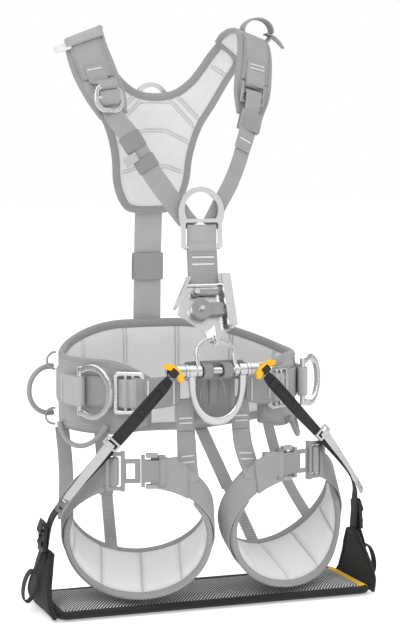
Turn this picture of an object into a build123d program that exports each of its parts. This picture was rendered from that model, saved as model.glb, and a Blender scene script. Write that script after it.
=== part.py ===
from build123d import *
import math
import os

# Climbing saddle: a work-positioning belt with back yoke, chest ascender, leg loops and a hung seat.
# Frame: origin at the centre of the waist opening, +X to the wearer's left, -Y forward, +Z up.
os.makedirs("parts", exist_ok=True)

# ---- waist belt ----
belt_half_x = 177.0
belt_half_y = 140.0
belt_centre_y = 10.0
belt_end_angle = 152.0
belt_webbing_end = 126.0
belt_rounding_angle = 126.0
belt_rounding_top = 24.0
belt_rounding_bottom = 12.0
belt_thick = 12.0
belt_top_back = 84.0
belt_top_front = 47.0
belt_bottom_back = -94.0
belt_bottom_front = -60.0
liner_thick = 4.0
liner_inset = 13.0
webbing_width = 44.0
webbing_thick = 2.6
running_gap = 0.05
soft_gap = 0.4

# ---- ventral attachment ----
pin_y = -165.0
pin_z = 36.0
pin_radius = 5.0
pin_half = 56.5
bracket_y = -149.0
ring_depth = 10.0

# ---- side rings ----
side_bar_angle = 117.5
side_bar_offset = 19.5
side_ring_reach = 58.0
side_ring_height = 80.0
side_ring_angle_left = -51.5
side_ring_angle_right = 42.0

# ---- yoke and shoulders ----
yoke_bottom_z = 254.0
yoke_bottom_y = 145.0
yoke_lean = 8.0
yoke_thick = 10.0
dorsal_bar_s = 144.0
shoulder_width = 58.0
shoulder_foot_width = 44.0
shoulder_lap = 4.0
shoulder_thick = 9.0

# ---- chest ----
sternal_bar_y = -99.0
sternal_bar_z = 209.0
sternal_lean = -4.0
ascender_top_y = -106.0
ascender_top_z = 152.0
ascender_lean = 24.0

# ---- leg loops ----
leg_x = -107.5
leg_y = -127.0
leg_z = -178.5
leg_yaw = -15.5
leg_half_width = 101.0
leg_half_height = 78.5
leg_reach = -38.0
leg_outer_back = 14.0
leg_pad_width = 106.0
leg_pad_thick = 10.0
leg_lean_bottom = 28.0
leg_lean_top = 85.0
leg_pivot_y = -150.0
leg_pivot_z = -50.2
leg_buckle_angle = 180.0

# ---- seat ----
seat_half = 240.0
seat_front_y = -180.0
seat_back_y = -34.0
seat_top_z = -291.0
seat_thick = 12.0
seat_strap_thick = 2.4


def save(node, shape):
    """Writes one sub-part to its own file."""
    export_step(shape, f"parts/{node}.step")


def mirrored(shape):
    """The same piece on the wearer's other side."""
    return mirror(shape, about=Plane.YZ)


def group(*shapes):
    """Several separate solids held in one node."""
    solids = []
    for shape in shapes:
        solids.extend(shape.solids())
    return Compound(children=solids)


def ribbon(stations, thickness):
    """A flat band lofted from station to station; a station is (centre, width direction, width)."""
    centres = [Vector(*station[0]) for station in stations]
    last = len(centres) - 1
    sections = []
    for i, (_, across, width) in enumerate(stations):
        along = centres[min(i + 1, last)] - centres[max(i - 1, 0)]
        plane = Plane(origin=centres[i], x_dir=Vector(*across), z_dir=along)
        sections.append(plane * Rectangle(width, thickness))
    return loft(sections, ruled=True)


def tube(start, middle, end, radius):
    """A round tube bent on one arc."""
    path = ThreePointArc(start, middle, end)
    section = Plane(origin=path @ 0, z_dir=path % 0) * Circle(radius)
    return sweep(section, path=path)


def x_rod(x_low, x_high, y, z, radius):
    """A round rod along X."""
    rod = Cylinder(radius, x_high - x_low, rotation=(0, 90, 0))
    return Pos((x_low + x_high) / 2, y, z) * rod


def box(x_low, x_high, y_low, y_high, z_low, z_high):
    """A box from its limits."""
    size = Box(x_high - x_low, y_high - y_low, z_high - z_low)
    return Pos((x_low + x_high) / 2, (y_low + y_high) / 2, (z_low + z_high) / 2) * size


def softened(shape, radius):
    """The shape with all its edges rounded, or as it is where they are too short."""
    try:
        return fillet(shape.edges(), radius)
    except Exception:
        return shape


# ------------------------------------------------------------------ belt
def belt_share(angle):
    """0 over the lumbar part of the belt, 1 along its two front wings."""
    share = (abs(angle) - 14.0) / 80.0
    share = min(1.0, max(0.0, share))
    return share * share * (3.0 - 2.0 * share)


def belt_xy(angle, offset):
    """Plan position on the belt's middle surface, set outwards; the angle is 0 at the back."""
    rad = math.radians(angle)
    x = (belt_half_x + offset) * math.sin(rad)
    y = belt_centre_y + (belt_half_y + offset) * math.cos(rad)
    return x, y


def belt_station(angle, offset, top_trim, bottom_trim):
    """Centre, direction and height of the belt band at an angle from the middle of the back."""
    share = belt_share(angle)
    top = belt_top_back + (belt_top_front - belt_top_back) * share - top_trim
    bottom = belt_bottom_back + (belt_bottom_front - belt_bottom_back) * share + bottom_trim
    rounding = max(0.0, abs(angle) - belt_rounding_angle) / (belt_end_angle - belt_rounding_angle)
    top = top - belt_rounding_top * rounding ** 2
    bottom = bottom + belt_rounding_bottom * rounding ** 2
    x, y = belt_xy(angle, offset)
    return ((x, y, (top + bottom) / 2), (0, 0, 1), top - bottom)


def belt_band(offset, thickness, end_angle, trim, steps):
    """A C-shaped band round the waist, open at the front."""
    stations = []
    for i in range(steps + 1):
        angle = -end_angle + 2 * end_angle * i / steps
        stations.append(belt_station(angle, offset, trim, trim))
    return ribbon(stations, thickness)


def belt_webbing():
    """The load-bearing webbing sewn round the outside of the belt."""
    stations = []
    offset = belt_thick / 2 + webbing_thick / 2 + 1.2
    for i in range(21):
        angle = -belt_webbing_end + 2 * belt_webbing_end * i / 20
        x, y = belt_xy(angle, offset)
        stations.append(((x, y, 2.0), (0, 0, 1), webbing_width))
    return ribbon(stations, webbing_thick)


def flat_frame(width, height, bar, depth, rounding):
    """A flat rectangular metal frame in the XZ plane with rounded corners."""
    outer = RectangleRounded(width, height, rounding)
    inner = RectangleRounded(width - 2 * bar, height - 2 * bar, rounding / 2)
    return extrude(Plane.XZ * (outer - inner), depth / 2, both=True)


def belt_buckle():
    """The left double-back buckle: a frame and its two sliding bars, standing on the belt's end."""
    frame = softened(flat_frame(46, 62, 6, 5, 7), 1.6)
    bars = [Pos(x, 0, 0) * Cylinder(2.6, 52) for x in (-5.5, 5.5)]
    x, y = belt_xy(-143, belt_thick / 2 + 8)
    return Pos(x, y, 2) * Rot(0, 0, -31) * (frame + bars[0] + bars[1])


def front_strap():
    """The left belt strap between the double-back buckle and the ventral bracket."""
    upright = (0, 0, 1)
    stations = [
        ((-112, -117.5, 2), upright, webbing_width),
        ((-86, -131.0, 3), upright, webbing_width),
        ((-66, -141.5, 6), upright, webbing_width),
        ((-52, -144.5, 9), upright, webbing_width),
    ]
    return ribbon(stations, webbing_thick)


def ventral_bracket():
    """The plate that carries the pin: a back plate and two lugs outside the ring's ears."""
    plate = box(-48, 48, bracket_y - 1.5, bracket_y + 1.5, 24, 47)
    lugs = []
    for side in (-1, 1):
        low, high = sorted((side * 44.5, side * 48.5))
        cheek = box(low, high, pin_y, bracket_y, 26, 46)
        lugs.append(cheek + x_rod(low, high, pin_y, pin_z, 9.5))
    body = plate + lugs[0] + lugs[1]
    return body - x_rod(-70, 70, pin_y, pin_z, pin_radius)


def ventral_pin():
    """The steel pin across the front, with a round head at each end."""
    pin = x_rod(-pin_half, pin_half, pin_y, pin_z, pin_radius)
    heads = [x_rod(side * pin_half - 1.2, side * pin_half + 1.2, pin_y, pin_z, 7) for side in (-1, 1)]
    return pin + heads[0] + heads[1]


def pin_sleeves():
    """Two webbing wraps sewn round the pin."""
    sleeves = []
    for x_low, x_high in ((-22, -8), (8, 22)):
        wrap = x_rod(x_low, x_high, pin_y, pin_z, 10.5)
        tail = box(x_low, x_high, pin_y + 6, bracket_y - 2, 28, 44)
        sleeves.append(wrap + tail - x_rod(-30, 30, pin_y, pin_z, pin_radius))
    return group(*sleeves)


def ventral_panel():
    """The padded fabric panel behind the ventral ring."""
    return softened(box(-34, 34, -146.5, -140.5, -42, 34), 2.5)


# ------------------------------------------------------------------ ventral rings
def bow_face(right_half):
    """A face between a smooth symmetrical bow and the line that joins its two ends."""
    left_half = [(-x, y) for x, y in reversed(right_half[:-1])]
    points = right_half + left_half
    return make_face(Spline(*points) + Line(points[-1], points[0]))


def ventral_ring():
    """The large gated ring: two arms down from the pin, curving into a round bottom."""
    outer = bow_face([(43.5, 0), (43, -18), (39.5, -38), (32, -58), (18, -73), (0, -78)])
    inner = bow_face([(33, 1), (32.8, -18), (31, -36), (24.5, -52), (13.5, -62.5), (0, -66)])
    outline = outer - inner
    plane = Plane(origin=(0, pin_y, pin_z), x_dir=(1, 0, 0), z_dir=(0, -1, 0))
    arms = extrude(plane * outline, ring_depth / 2, both=True)
    arms = softened(arms, 3.2)
    eyes = [x_rod(side * 38.3 - 5.2, side * 38.3 + 5.2, pin_y, pin_z, 9.0) for side in (-1, 1)]
    body = arms + eyes[0] + eyes[1]
    return body - x_rod(-60, 60, pin_y, pin_z, pin_radius + running_gap)


def ventral_link():
    """The small ring that ties the ascender's tail to the pin, leaning back from it."""
    outer = Pos(0, 12) * Rectangle(62, 24) + Pos(0, 24) * Ellipse(31, 26)
    inner = Pos(0, 11) * Rectangle(50, 26) + Pos(0, 24) * Ellipse(25, 19.5)
    plane = Plane(origin=(0, 0, 0), x_dir=(1, 0, 0), z_dir=(0, -1, 0))
    arch = softened(extrude(plane * (outer - inner), 3.2, both=True), 1.6)
    eyes = [Pos(side * 28, 0, 0) * Cylinder(8.2, 6, rotation=(0, 90, 0)) for side in (-1, 1)]
    body = arch + eyes[0] + eyes[1] - Cylinder(pin_radius + running_gap, 80, rotation=(0, 90, 0))
    return Pos(0, pin_y, pin_z) * Rot(-19.5, 0, 0) * body


# ------------------------------------------------------------------ side rings
def side_ring():
    """A side D ring in its own frame: the bar on the Z axis, the bow towards +X."""
    half = side_ring_height / 2
    outer = Pos(10, 0) * Rectangle(26, 2 * half - 8) + Pos(22, 0) * Ellipse(side_ring_reach - 22, half)
    outer = outer & Pos(57, 0) * Rectangle(120, 4 * half)
    inner = Pos(14, 0) * Rectangle(20, 2 * half - 26) + Pos(22, 0) * Ellipse(side_ring_reach - 31, half - 9)
    window = Pos(2, 0) * Rectangle(14, 2 * half - 26)
    outline = outer - inner - window
    plane = Plane(origin=(0, 0, 0), x_dir=(1, 0, 0), z_dir=(0, -1, 0))
    bow = softened(extrude(plane * outline, 4, both=True), 2.2)
    return bow + Cylinder(4.0, 2 * half - 10)


def side_ring_placed(side, angle):
    """The D ring on its bar, turned to its rest angle about the upright axis."""
    x, y = belt_xy(side * side_bar_angle, side_bar_offset)
    return Pos(x, y, 2) * Rot(0, 0, angle) * side_ring()


def side_mount():
    """The left webbing wrap that holds the side ring's bar to the belt."""
    x, y = belt_xy(-side_bar_angle, side_bar_offset)
    wrap = Pos(x, y, 2) * Cylinder(7.0, webbing_width)
    bore = Pos(x, y, 2) * Cylinder(4.0 + soft_gap, webbing_width + 4)
    tail_offset = belt_thick / 2 + webbing_thick + 5.4
    stations = []
    for i in range(5):
        tail_x, tail_y = belt_xy(-(side_bar_angle - 2) + 5 * i, tail_offset)
        stations.append(((tail_x, tail_y, 2), (0, 0, 1), webbing_width))
    return wrap + ribbon(stations, 5.0) - bore


# ------------------------------------------------------------------ gear loops
def gear_loop_rear():
    """The left rear tube loop standing out from the belt."""
    return tube((-179.5, 72, 24), (-219, 60, -11), (-179.5, 72, -46), 3.8)


def gear_loop_front():
    """The left front tube loop under the belt's wing."""
    return tube((-186.5, 4, -52), (-176, -42, -80), (-142.5, -91.5, -46), 3.6)


# ------------------------------------------------------------------ yoke
def yoke_place():
    """Plane of the yoke: x across, y up its slope, z forward towards the wearer."""
    lean = math.radians(yoke_lean)
    return Plane(origin=(0, yoke_bottom_y, yoke_bottom_z), x_dir=(1, 0, 0),
                 z_dir=(0, -math.cos(lean), -math.sin(lean)))


def yoke_outline(inset):
    """The Y-shaped outline: narrow foot, broad shoulder-blade part and two arms."""
    right_edge = [
        (26, 0), (47, 20), (62, 48), (66, 90), (78, 132), (99, 168), (119, 204), (136, 240),
        (100, 272), (78, 240), (54, 212), (30, 191), (0, 186),
    ]
    points = right_edge + [(-x, y) for x, y in reversed(right_edge[:-1])]
    edge = Polyline(*points, close=True)
    face = make_face(edge)
    if inset:
        face = offset(face, amount=-inset, kind=Kind.INTERSECTION)
    return face


def back_pad():
    """The padded yoke between the shoulder blades."""
    plate = extrude(yoke_place() * yoke_outline(0), yoke_thick / 2, both=True)
    return plate


def back_liner():
    """The quilted lining on the yoke's inner face."""
    sketch = yoke_place().offset(yoke_thick / 2 + soft_gap) * yoke_outline(8)
    return extrude(sketch, 3.0)


def yoke_point(s, out):
    """A point s up the yoke's slope and out behind it."""
    lean = math.radians(yoke_lean)
    y = yoke_bottom_y - s * math.sin(lean) + out * math.cos(lean)
    z = yoke_bottom_z + s * math.cos(lean) + out * math.sin(lean)
    return y, z


def dorsal_plate():
    """The moulded plate behind the yoke that carries the dorsal ring."""
    y, z = yoke_point(dorsal_bar_s - 18, yoke_thick / 2 + soft_gap + 2.5)
    plate = softened(Box(66, 5, 64), 2.0)
    placed = Pos(0, y, z) * Rot(yoke_lean, 0, 0) * plate
    bar_y, bar_z = yoke_point(dorsal_bar_s, yoke_thick / 2 + 11)
    block = Pos(0, bar_y, bar_z) * Cylinder(6.5, 30, rotation=(0, 90, 0))
    joined = placed + block
    return joined - x_rod(-40, 40, bar_y, bar_z, 3.5 + running_gap)


def dorsal_ring():
    """The dorsal D ring, standing up from its bar."""
    outer = Pos(0, 14) * Rectangle(56, 30) + Pos(0, 29) * Ellipse(28, 29)
    inner = Pos(0, 15) * Rectangle(42, 30) + Pos(0, 29) * Ellipse(21, 22)
    plane = Plane(origin=(0, 0, 0), x_dir=(1, 0, 0), z_dir=(0, -1, 0))
    bow = softened(extrude(plane * (outer - inner), 3.4, both=True), 1.7)
    body = bow + Cylinder(3.5, 50, rotation=(0, 90, 0))
    bar_y, bar_z = yoke_point(dorsal_bar_s, yoke_thick / 2 + 11)
    return Pos(0, bar_y, bar_z) * Rot(4, 0, 0) * body


def back_strap():
    """The webbing from the belt up to the yoke's foot."""
    across = (1, 0, 0)
    stations = [
        ((0, 163.0, -30), across, webbing_width),
        ((0, 163.0, 60), across, webbing_width),
        ((0, 161.0, 130), across, webbing_width),
        ((0, 157.0, 200), across, webbing_width),
        ((0, 152.0, 256), across, webbing_width),
        ((0, 145.0, 306), across, webbing_width),
    ]
    return ribbon(stations, webbing_thick)


def strap_keeper(y, z, width, height, depth, lean):
    """A flat sleeve round a strap."""
    sleeve = Box(width, depth, height)
    return Pos(0, y, z) * Rot(lean, 0, 0) * softened(sleeve, 1.2)


# ------------------------------------------------------------------ shoulders
left_shoulder = [
    ((-116, 101.5, 500), (0.74, 0, 0.66)),
    ((-122, 84, 513), (0.82, 0, 0.55)),
    ((-130, 56, 521), (0.9, -0.1, 0.42)),
    ((-140, 28, 517), (0.92, -0.2, 0.33)),
    ((-141, 6, 494), (0.93, -0.22, 0.28)),
    ((-135, -14, 462), (0.95, -0.22, 0.2)),
    ((-126, -32, 428), (0.97, -0.2, 0.15)),
    ((-117, -44, 398), (0.97, -0.2, 0.25)),
]
right_shoulder = [
    ((116, 101.5, 500), (0.74, 0, -0.66)),
    ((120, 84, 514), (0.82, 0, -0.55)),
    ((124, 56, 523), (0.9, 0.1, -0.4)),
    ((126, 28, 520), (0.92, 0.15, -0.3)),
    ((122, 6, 498), (0.93, 0.15, -0.25)),
    ((113, -14, 466), (0.95, 0.12, -0.22)),
    ((103, -32, 432), (0.96, 0.08, -0.2)),
    ((95, -43, 400), (0.96, 0.08, -0.22)),
]


def shoulder_pad(points):
    """A padded strap over one shoulder, narrowed at its foot."""
    last = len(points) - 1
    stations = []
    for i, (centre, across) in enumerate(points):
        width = shoulder_width if i < last else shoulder_foot_width
        stations.append((centre, across, width))
    return ribbon(stations, shoulder_thick)


def shoulder_pads():
    """Both shoulder pads, cut back where they lap the arms of the yoke."""
    room = extrude(yoke_place() * yoke_outline(0), yoke_thick / 2 + shoulder_lap, both=True)
    pads = []
    for points in (left_shoulder, right_shoulder):
        pieces = (shoulder_pad(points) - room).solids()
        pads.append(max(pieces, key=lambda solid: solid.volume))
    return group(*pads)


def shoulder_ring():
    """The left ring buckle at the foot of the shoulder pad."""
    outline = RectangleRounded(46, 44, 18) - RectangleRounded(33, 31, 12)
    plate = softened(extrude(Plane.XZ * outline, 2.5, both=True), 1.2)
    bar = Cylinder(2.4, 36, rotation=(0, 90, 0))
    return Pos(-124, -50, 423) * Rot(-16, 0, 8) * (plate + bar)


def shoulder_slide():
    """The right ladder slide."""
    frame = softened(flat_frame(40, 34, 5, 4.4, 3), 1.2)
    bar = Cylinder(2.4, 34, rotation=(0, 90, 0))
    return Pos(100, -45, 432) * Rot(-18, 14, 4) * (frame + bar)


def chest_buckle():
    """The right quick buckle's body."""
    body = Box(34, 10, 30) - Pos(0, 0, 17) * Box(18, 4, 16)
    return Pos(90, -58, 391) * Rot(-14, 18, 4) * softened(body, 1.0)


def shoulder_loop():
    """The open soft loop standing on top of the right shoulder, with its free tail."""
    outline = Ellipse(26, 22) - Ellipse(21.5, 17.5)
    band = extrude(Plane.XZ * outline, 10, both=True)
    tail = Pos(31, 0, -9) * Rot(0, 62, 0) * Box(34, 18, 3)
    return Pos(137, 36, 531) * (band + tail)


def shoulder_wrap():
    """The same kind of loop rolled up on top of the left shoulder pad, with its end tab."""
    plane = Plane(origin=(-144.5, 9.4, 513), x_dir=(0.92, -0.2, 0.33), z_dir=(-0.37, -0.65, 0.65))
    roll = softened(Box(58, 19, 10), 4.0)
    tab = Pos(-36, -4, -1) * Box(24, 15, 4)
    return plane * (roll + tab)


def chest_strap(points, width):
    """A webbing from a shoulder buckle down to the sternal ring."""
    start = Vector(*points[0])
    end = Vector(*points[-1])
    forward = Vector(0, -1, -0.3)
    across = (end - start).cross(forward)
    direction = (across.X, across.Y, across.Z)
    return ribbon([(point, direction, width) for point in points], webbing_thick)


left_chest_points = [(-121, -55, 412), (-102, -63, 374), (-66, -77, 312), (-20, -90, 246)]
right_chest_points = [(97, -52, 417), (76, -64, 352), (52, -77, 300), (17, -90, 246)]


def chest_keeper(points, at, width):
    """An elastic keeper round a chest strap, at a share of its middle span."""
    first = Vector(*points[1])
    second = Vector(*points[2])
    centre = first + (second - first) * at
    across = (second - first).cross(Vector(0, -1, -0.3))
    direction = (across.X, across.Y, across.Z)
    step = (second - first).normalized() * 6
    low = centre - step
    high = centre + step
    stations = [((low.X, low.Y, low.Z), direction, width), ((high.X, high.Y, high.Z), direction, width)]
    return ribbon(stations, webbing_thick + 3.6)


# ------------------------------------------------------------------ sternal ring and ascender
def sternal_ring():
    """The sternal D ring: an upper bow, a crossbar and a lower window closed by its hinge bar."""
    outer = Pos(0, 24) * Rectangle(62, 50) + Pos(0, 50) * Ellipse(35, 37)
    upper = Pos(0, 54) * Ellipse(25.5, 26) & Pos(0, 68) * Rectangle(60, 54)
    lower = Pos(0, 18.5) * RectangleRounded(50, 34, 3)
    plane = Plane(origin=(0, 0, 0), x_dir=(1, 0, 0), z_dir=(0, -1, 0))
    bow = softened(extrude(plane * (outer - upper - lower), 3.2, both=True), 2.4)
    bar = Cylinder(3.2, 56, rotation=(0, 90, 0))
    return Pos(0, sternal_bar_y, sternal_bar_z) * Rot(sternal_lean, 0, 0) * (bow + bar)


def sternal_webbing():
    """The folded webbing: wraps the ring's bar and runs down to the ascender."""
    wrap = x_rod(-21, 21, sternal_bar_y, sternal_bar_z, 7.0)
    block = box(-21, 21, sternal_bar_y - 5.5, sternal_bar_y + 5.5, sternal_bar_z, 240)
    band = ribbon([
        ((0, sternal_bar_y + 3, 212), (1, 0, 0), webbing_width),
        ((0, sternal_bar_y - 1, 188), (1, 0, 0), webbing_width),
        ((0, ascender_top_y + 1, ascender_top_z + 3), (1, 0, 0), webbing_width),
    ], 5.0)
    bore = x_rod(-30, 30, sternal_bar_y, sternal_bar_z, 3.2 + soft_gap)
    return wrap + block + band - bore


def in_ascender(shape):
    """Places a shape from the ascender's own frame: x across, y back, z up from its top bar."""
    return Pos(0, ascender_top_y, ascender_top_z) * Rot(-ascender_lean, 0, 0) * shape


def ascender_frame():
    """The bent frame of the chest ascender: slotted head, side flange, rope channel and tail."""
    outline = make_face(Polyline((-26, 14), (36, 20), (38, -64), (18, -74), (8, -88), (-2, -88), (-14, -66),
                                 (-46, -42), close=True))
    slot = Pos(0, 6) * Rectangle(46, 6)
    plane = Plane(origin=(0, 0, 0), x_dir=(1, 0, 0), z_dir=(0, -1, 0))
    plate = extrude(plane * (outline - slot), 3.0)
    flange = Pos(-37, -8, -12) * Rot(0, 30, 0) * Box(4, 16, 52)
    channel = box(24, 38, -17, 0, -64, 14) - box(20, 35, -14, -3, -70, 20)
    head = x_rod(-26, 30, -1.5, 0.5, 3.6)
    axle = Pos(-12, -9, -38) * Cylinder(3.4, 18, rotation=(90, 0, 0))
    rivet = Pos(-16, -8, -12) * Cylinder(2.4, 14, rotation=(90, 0, 0))
    rivet_head = Pos(-16, -15.5, -12) * Cylinder(4.2, 1.6, rotation=(90, 0, 0))
    hook = box(1, 6, -18.5, -1, -92, -66)
    hole = Pos(3.5, -10.4, -83.3) * Cylinder(6.0, 12, rotation=(0, 90, 0))
    return in_ascender(plate + flange + channel + head + axle + rivet + rivet_head + hook - hole)


def ascender_cam():
    """The toothed cam on its axle, facing the rope channel."""
    disc = Pos(-12, -9, -38) * Cylinder(15, 10, rotation=(90, 0, 0))
    nose = Pos(5, -9, -38) * Box(30, 10, 18)
    body = disc + nose - Pos(-12, -9, -38) * Cylinder(3.4 + running_gap, 24, rotation=(90, 0, 0))
    teeth = [Pos(20.5, -9, -44.5 + 4.2 * i) * Box(3, 9, 2.0) for i in range(4)]
    for tooth in teeth:
        body = body + tooth
    return in_ascender(body)


def ascender_catch():
    """The release lever above the cam."""
    lever = Pos(2, -9, -12) * Box(32, 6, 8)
    knob = Pos(-16, -9, -12) * Cylinder(6, 8, rotation=(90, 0, 0))
    body = lever + knob - Pos(-16, -9, -12) * Cylinder(2.4 + running_gap, 20, rotation=(90, 0, 0))
    return in_ascender(body)


# ------------------------------------------------------------------ leg loops
def leg_vectors(angle):
    """Centre, tangent and width direction of the thigh band; the angle is 0 at its lowest point."""
    rad = math.radians(angle)
    rise = (1 - math.cos(rad)) / 2
    lean = math.radians(leg_lean_bottom + (leg_lean_top - leg_lean_bottom) * rise)
    set_back = leg_outer_back * max(0.0, math.sin(rad)) ** 2
    centre = Vector(-leg_half_width * math.sin(rad), leg_reach * rise + set_back,
                    -leg_half_height * math.cos(rad))
    tangent = Vector(-leg_half_width * math.cos(rad), leg_reach * math.sin(rad) / 2,
                     leg_half_height * math.sin(rad))
    across = Vector(0, math.cos(lean), math.sin(lean))
    return centre, tangent, across, rise


def leg_stations(low, high, steps, out, spare, full):
    """Stations of a band round the thigh, set out from the middle surface."""
    stations = []
    for i in range(steps + 1):
        centre, tangent, across, rise = leg_vectors(low + (high - low) * i / steps)
        outward = tangent.cross(across).normalized()
        if outward.dot(centre) < 0:
            outward = outward * -1
        place = centre + outward * out
        width = webbing_width + full * (leg_pad_width - webbing_width) * (1 - rise) ** 2 - spare
        stations.append(((place.X, place.Y, place.Z), (across.X, across.Y, across.Z), width))
    return stations


def in_leg(shape):
    """Places a shape from the left leg loop's own frame."""
    return Pos(leg_x, leg_y, leg_z) * Rot(0, 0, leg_yaw) * shape


def leg_pad():
    """The padded thigh band, broad under the thigh."""
    return in_leg(ribbon(leg_stations(-128, 112, 24, 0, 0, 1), leg_pad_thick))


def leg_webbing():
    """The webbing round the outside of the thigh band, up to the buckle on both sides."""
    out = leg_pad_thick / 2 + webbing_thick / 2 + 0.6
    band = in_leg(ribbon(leg_stations(-158, 152, 30, out, 2, 0), webbing_thick))
    return band + leg_front_strap()


def in_buckle(shape):
    """Places a shape from the leg buckle's own frame: x inwards along the webbing, z up."""
    centre, _, _, _ = leg_vectors(leg_buckle_angle)
    out = leg_pad_thick / 2 + 4
    return in_leg(Pos(centre.X, centre.Y - out, centre.Z) * shape)


def leg_buckle_tongue():
    """The adjuster frame and tongue plate of the leg buckle."""
    frame = Pos(-33, 0, 0) * flat_frame(26, 54, 5, 5, 2)
    bar = Pos(-33, 0, 0) * Cylinder(2.6, 46)
    roller = Pos(-22, 0, 0) * Box(6, 8, 56)
    tongue = Pos(-9, 0, 0) * Box(24, 4, 34) - Pos(-11, 0, 0) * Box(12, 6, 22)
    return in_buckle(frame + bar + roller + tongue)


def leg_buckle_body():
    """The clasp that the tongue clips into."""
    body = Pos(21, 0, 0) * Box(34, 11, 44)
    mouth = Pos(5, 0, 0) * Box(4, 6, 36)
    notches = [Pos(19, 0, side * 20) * Box(20, 14, 9) for side in (-1, 1)]
    slot = Pos(33, 0, 0) * Box(5, 14, 34)
    return in_buckle(body - mouth - notches[0] - notches[1] - slot)


def leg_buckle_tab(side):
    """One of the clasp's two squeeze tabs."""
    tab = Pos(19, 0, side * 22) * Box(17, 9, 6)
    return in_buckle(softened(tab, 1.2))


def leg_front_strap():
    """The webbing from under the belt's front down to the thigh band."""
    across = (1, 0, 0)
    stations = [
        ((-42, leg_pivot_y, leg_pivot_z - 1.3), across, 26),
        ((-43, leg_pivot_y - 6, leg_pivot_z - 24), across, 26),
        ((-46, leg_pivot_y - 17, leg_pivot_z - 46), (1, 0, 0.1), 28),
        ((-49, leg_pivot_y - 32, leg_pivot_z - 66), (1, 0, 0.2), 30),
        ((-52, leg_pivot_y - 36, leg_pivot_z - 84), (1, 0, 0.25), 30),
    ]
    return ribbon(stations, 4.0)


def belt_leg_tab():
    """The left webbing tab under the belt that the leg strap hangs from."""
    across = (1, 0, 0)
    stations = [
        ((-42, -143.0, -8), across, 26),
        ((-42, -147.5, -30), across, 26),
        ((-42, leg_pivot_y, leg_pivot_z + 1.2), across, 26),
    ]
    return ribbon(stations, 4.0)


def strap_between(start, end, across, width, thickness, sag):
    """A strap between two points with a slight sag backwards."""
    first = Vector(*start)
    last = Vector(*end)
    stations = []
    for i in range(7):
        share = i / 6
        point = first + (last - first) * share + Vector(0, sag * 4 * share * (1 - share), 0)
        stations.append(((point.X, point.Y, point.Z), across, width))
    return ribbon(stations, thickness)


# ------------------------------------------------------------------ seat
def seat_outline(inset):
    """The seat's plan: straight front, rounded back corners."""
    depth = seat_back_y - seat_front_y - 2 * inset
    plan = RectangleRounded(2 * seat_half - 2 * inset, depth, 16)
    return Pos(0, (seat_front_y + seat_back_y) / 2) * plan


def seat_board():
    """The stiff board inside the seat."""
    plane = Plane(origin=(0, 0, seat_top_z - seat_thick + 3))
    return extrude(plane * seat_outline(8), 5.0)


def seat_cover():
    """The fabric shell under and round the board."""
    plane = Plane(origin=(0, 0, seat_top_z - seat_thick))
    shell = extrude(plane * seat_outline(0), seat_thick - 0.6)
    hollow = extrude(Plane(origin=(0, 0, seat_top_z - seat_thick + 3 - 0.2)) * seat_outline(7.8), seat_thick)
    return shell - hollow


def seat_mesh():
    """The mesh-topped foam on the board."""
    plane = Plane(origin=(0, 0, seat_top_z - seat_thick + 8.2))
    return extrude(plane * seat_outline(8), seat_thick - 8.2)


def seat_stripe():
    """The coloured stripe across the seat's right end."""
    return box(226, 236, seat_front_y + 12, seat_back_y - 12, seat_top_z + 0.05, seat_top_z + 1.3)


def seat_wing():
    """The left side wing, from the seat's end up to the hanging strap."""
    front = seat_front_y + 3
    stations = []
    profile = [
        (-242.0, seat_top_z - 8, front, seat_back_y - 4),
        (-247.0, seat_top_z + 10, front + 8, seat_back_y - 11),
        (-246.0, seat_top_z + 24, front + 17, seat_back_y - 21),
        (-240.0, seat_top_z + 49, front + 31, seat_back_y - 42),
        (-233.5, seat_top_z + 72, front + 46, seat_back_y - 66),
    ]
    for x, z, low, high in profile:
        stations.append(((x, (low + high) / 2, z), (0, 1, 0), high - low))
    return ribbon(stations, 5.0)


seat_strap_points = [
    ((-73, -171, 27), (0.69, 0, -0.72), 12),
    ((-82, -171, 17), (0.69, 0, -0.72), 20),
    ((-124, -170, -28), (0.67, -0.26, -0.67), 19),
    ((-164, -168, -70), (0.56, -0.6, -0.56), 18),
    ((-199, -160, -110), (0.35, -0.88, -0.3), 18),
    ((-224, -144, -145), (0.15, -1, -0.15), 18),
    ((-235, -122, -174), (0.05, -1, -0.05), 20),
    ((-239.2, -108, -221), (0, -1, 0), 22),
]


def seat_strap():
    """The left hanging strap, twisting from front-facing to side-facing."""
    return seat_knot() + ribbon(seat_strap_points, seat_strap_thick)


def seat_eye():
    """The left steel ring on a cup that turns on the ventral pin's end, over the pin's head."""
    cup = x_rod(-61.5, -49.5, pin_y, pin_z, 9.2)
    bore = x_rod(-54.6, -45, pin_y, pin_z, pin_radius + running_gap)
    pocket = x_rod(-59.2, -54.6, pin_y, pin_z, 7.8)
    ring = Pos(-68.5, pin_y, pin_z) * Torus(8.0, 2.0, rotation=(90, 0, 0))
    return cup - bore - pocket + ring


def seat_toggle():
    """The left crescent toggle that locks the strap's loop in the ring."""
    outline = make_face(Polyline((-19, -2), (-14, 4.5), (-5, 7.5), (5, 7.5), (14, 4.5), (19, -2), (15, -6),
                                 (7, -2.8), (-7, -2.8), (-15, -6), close=True))
    plane = Plane(origin=(0, 0, 0), x_dir=(1, 0, 0), z_dir=(0, -1, 0))
    crescent = softened(extrude(plane * outline, 4, both=True), 1.5)
    return Pos(-68.5, pin_y - 11, pin_z + 2) * Rot(0, 42, 0) * crescent


def seat_knot():
    """The left webbing loop over the toggle, through the ring."""
    loop = softened(Box(11, 14, 13), 2.2)
    return Pos(-69.0, pin_y - 9.2, pin_z + 1) * Rot(0, 42, 0) * loop


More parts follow.
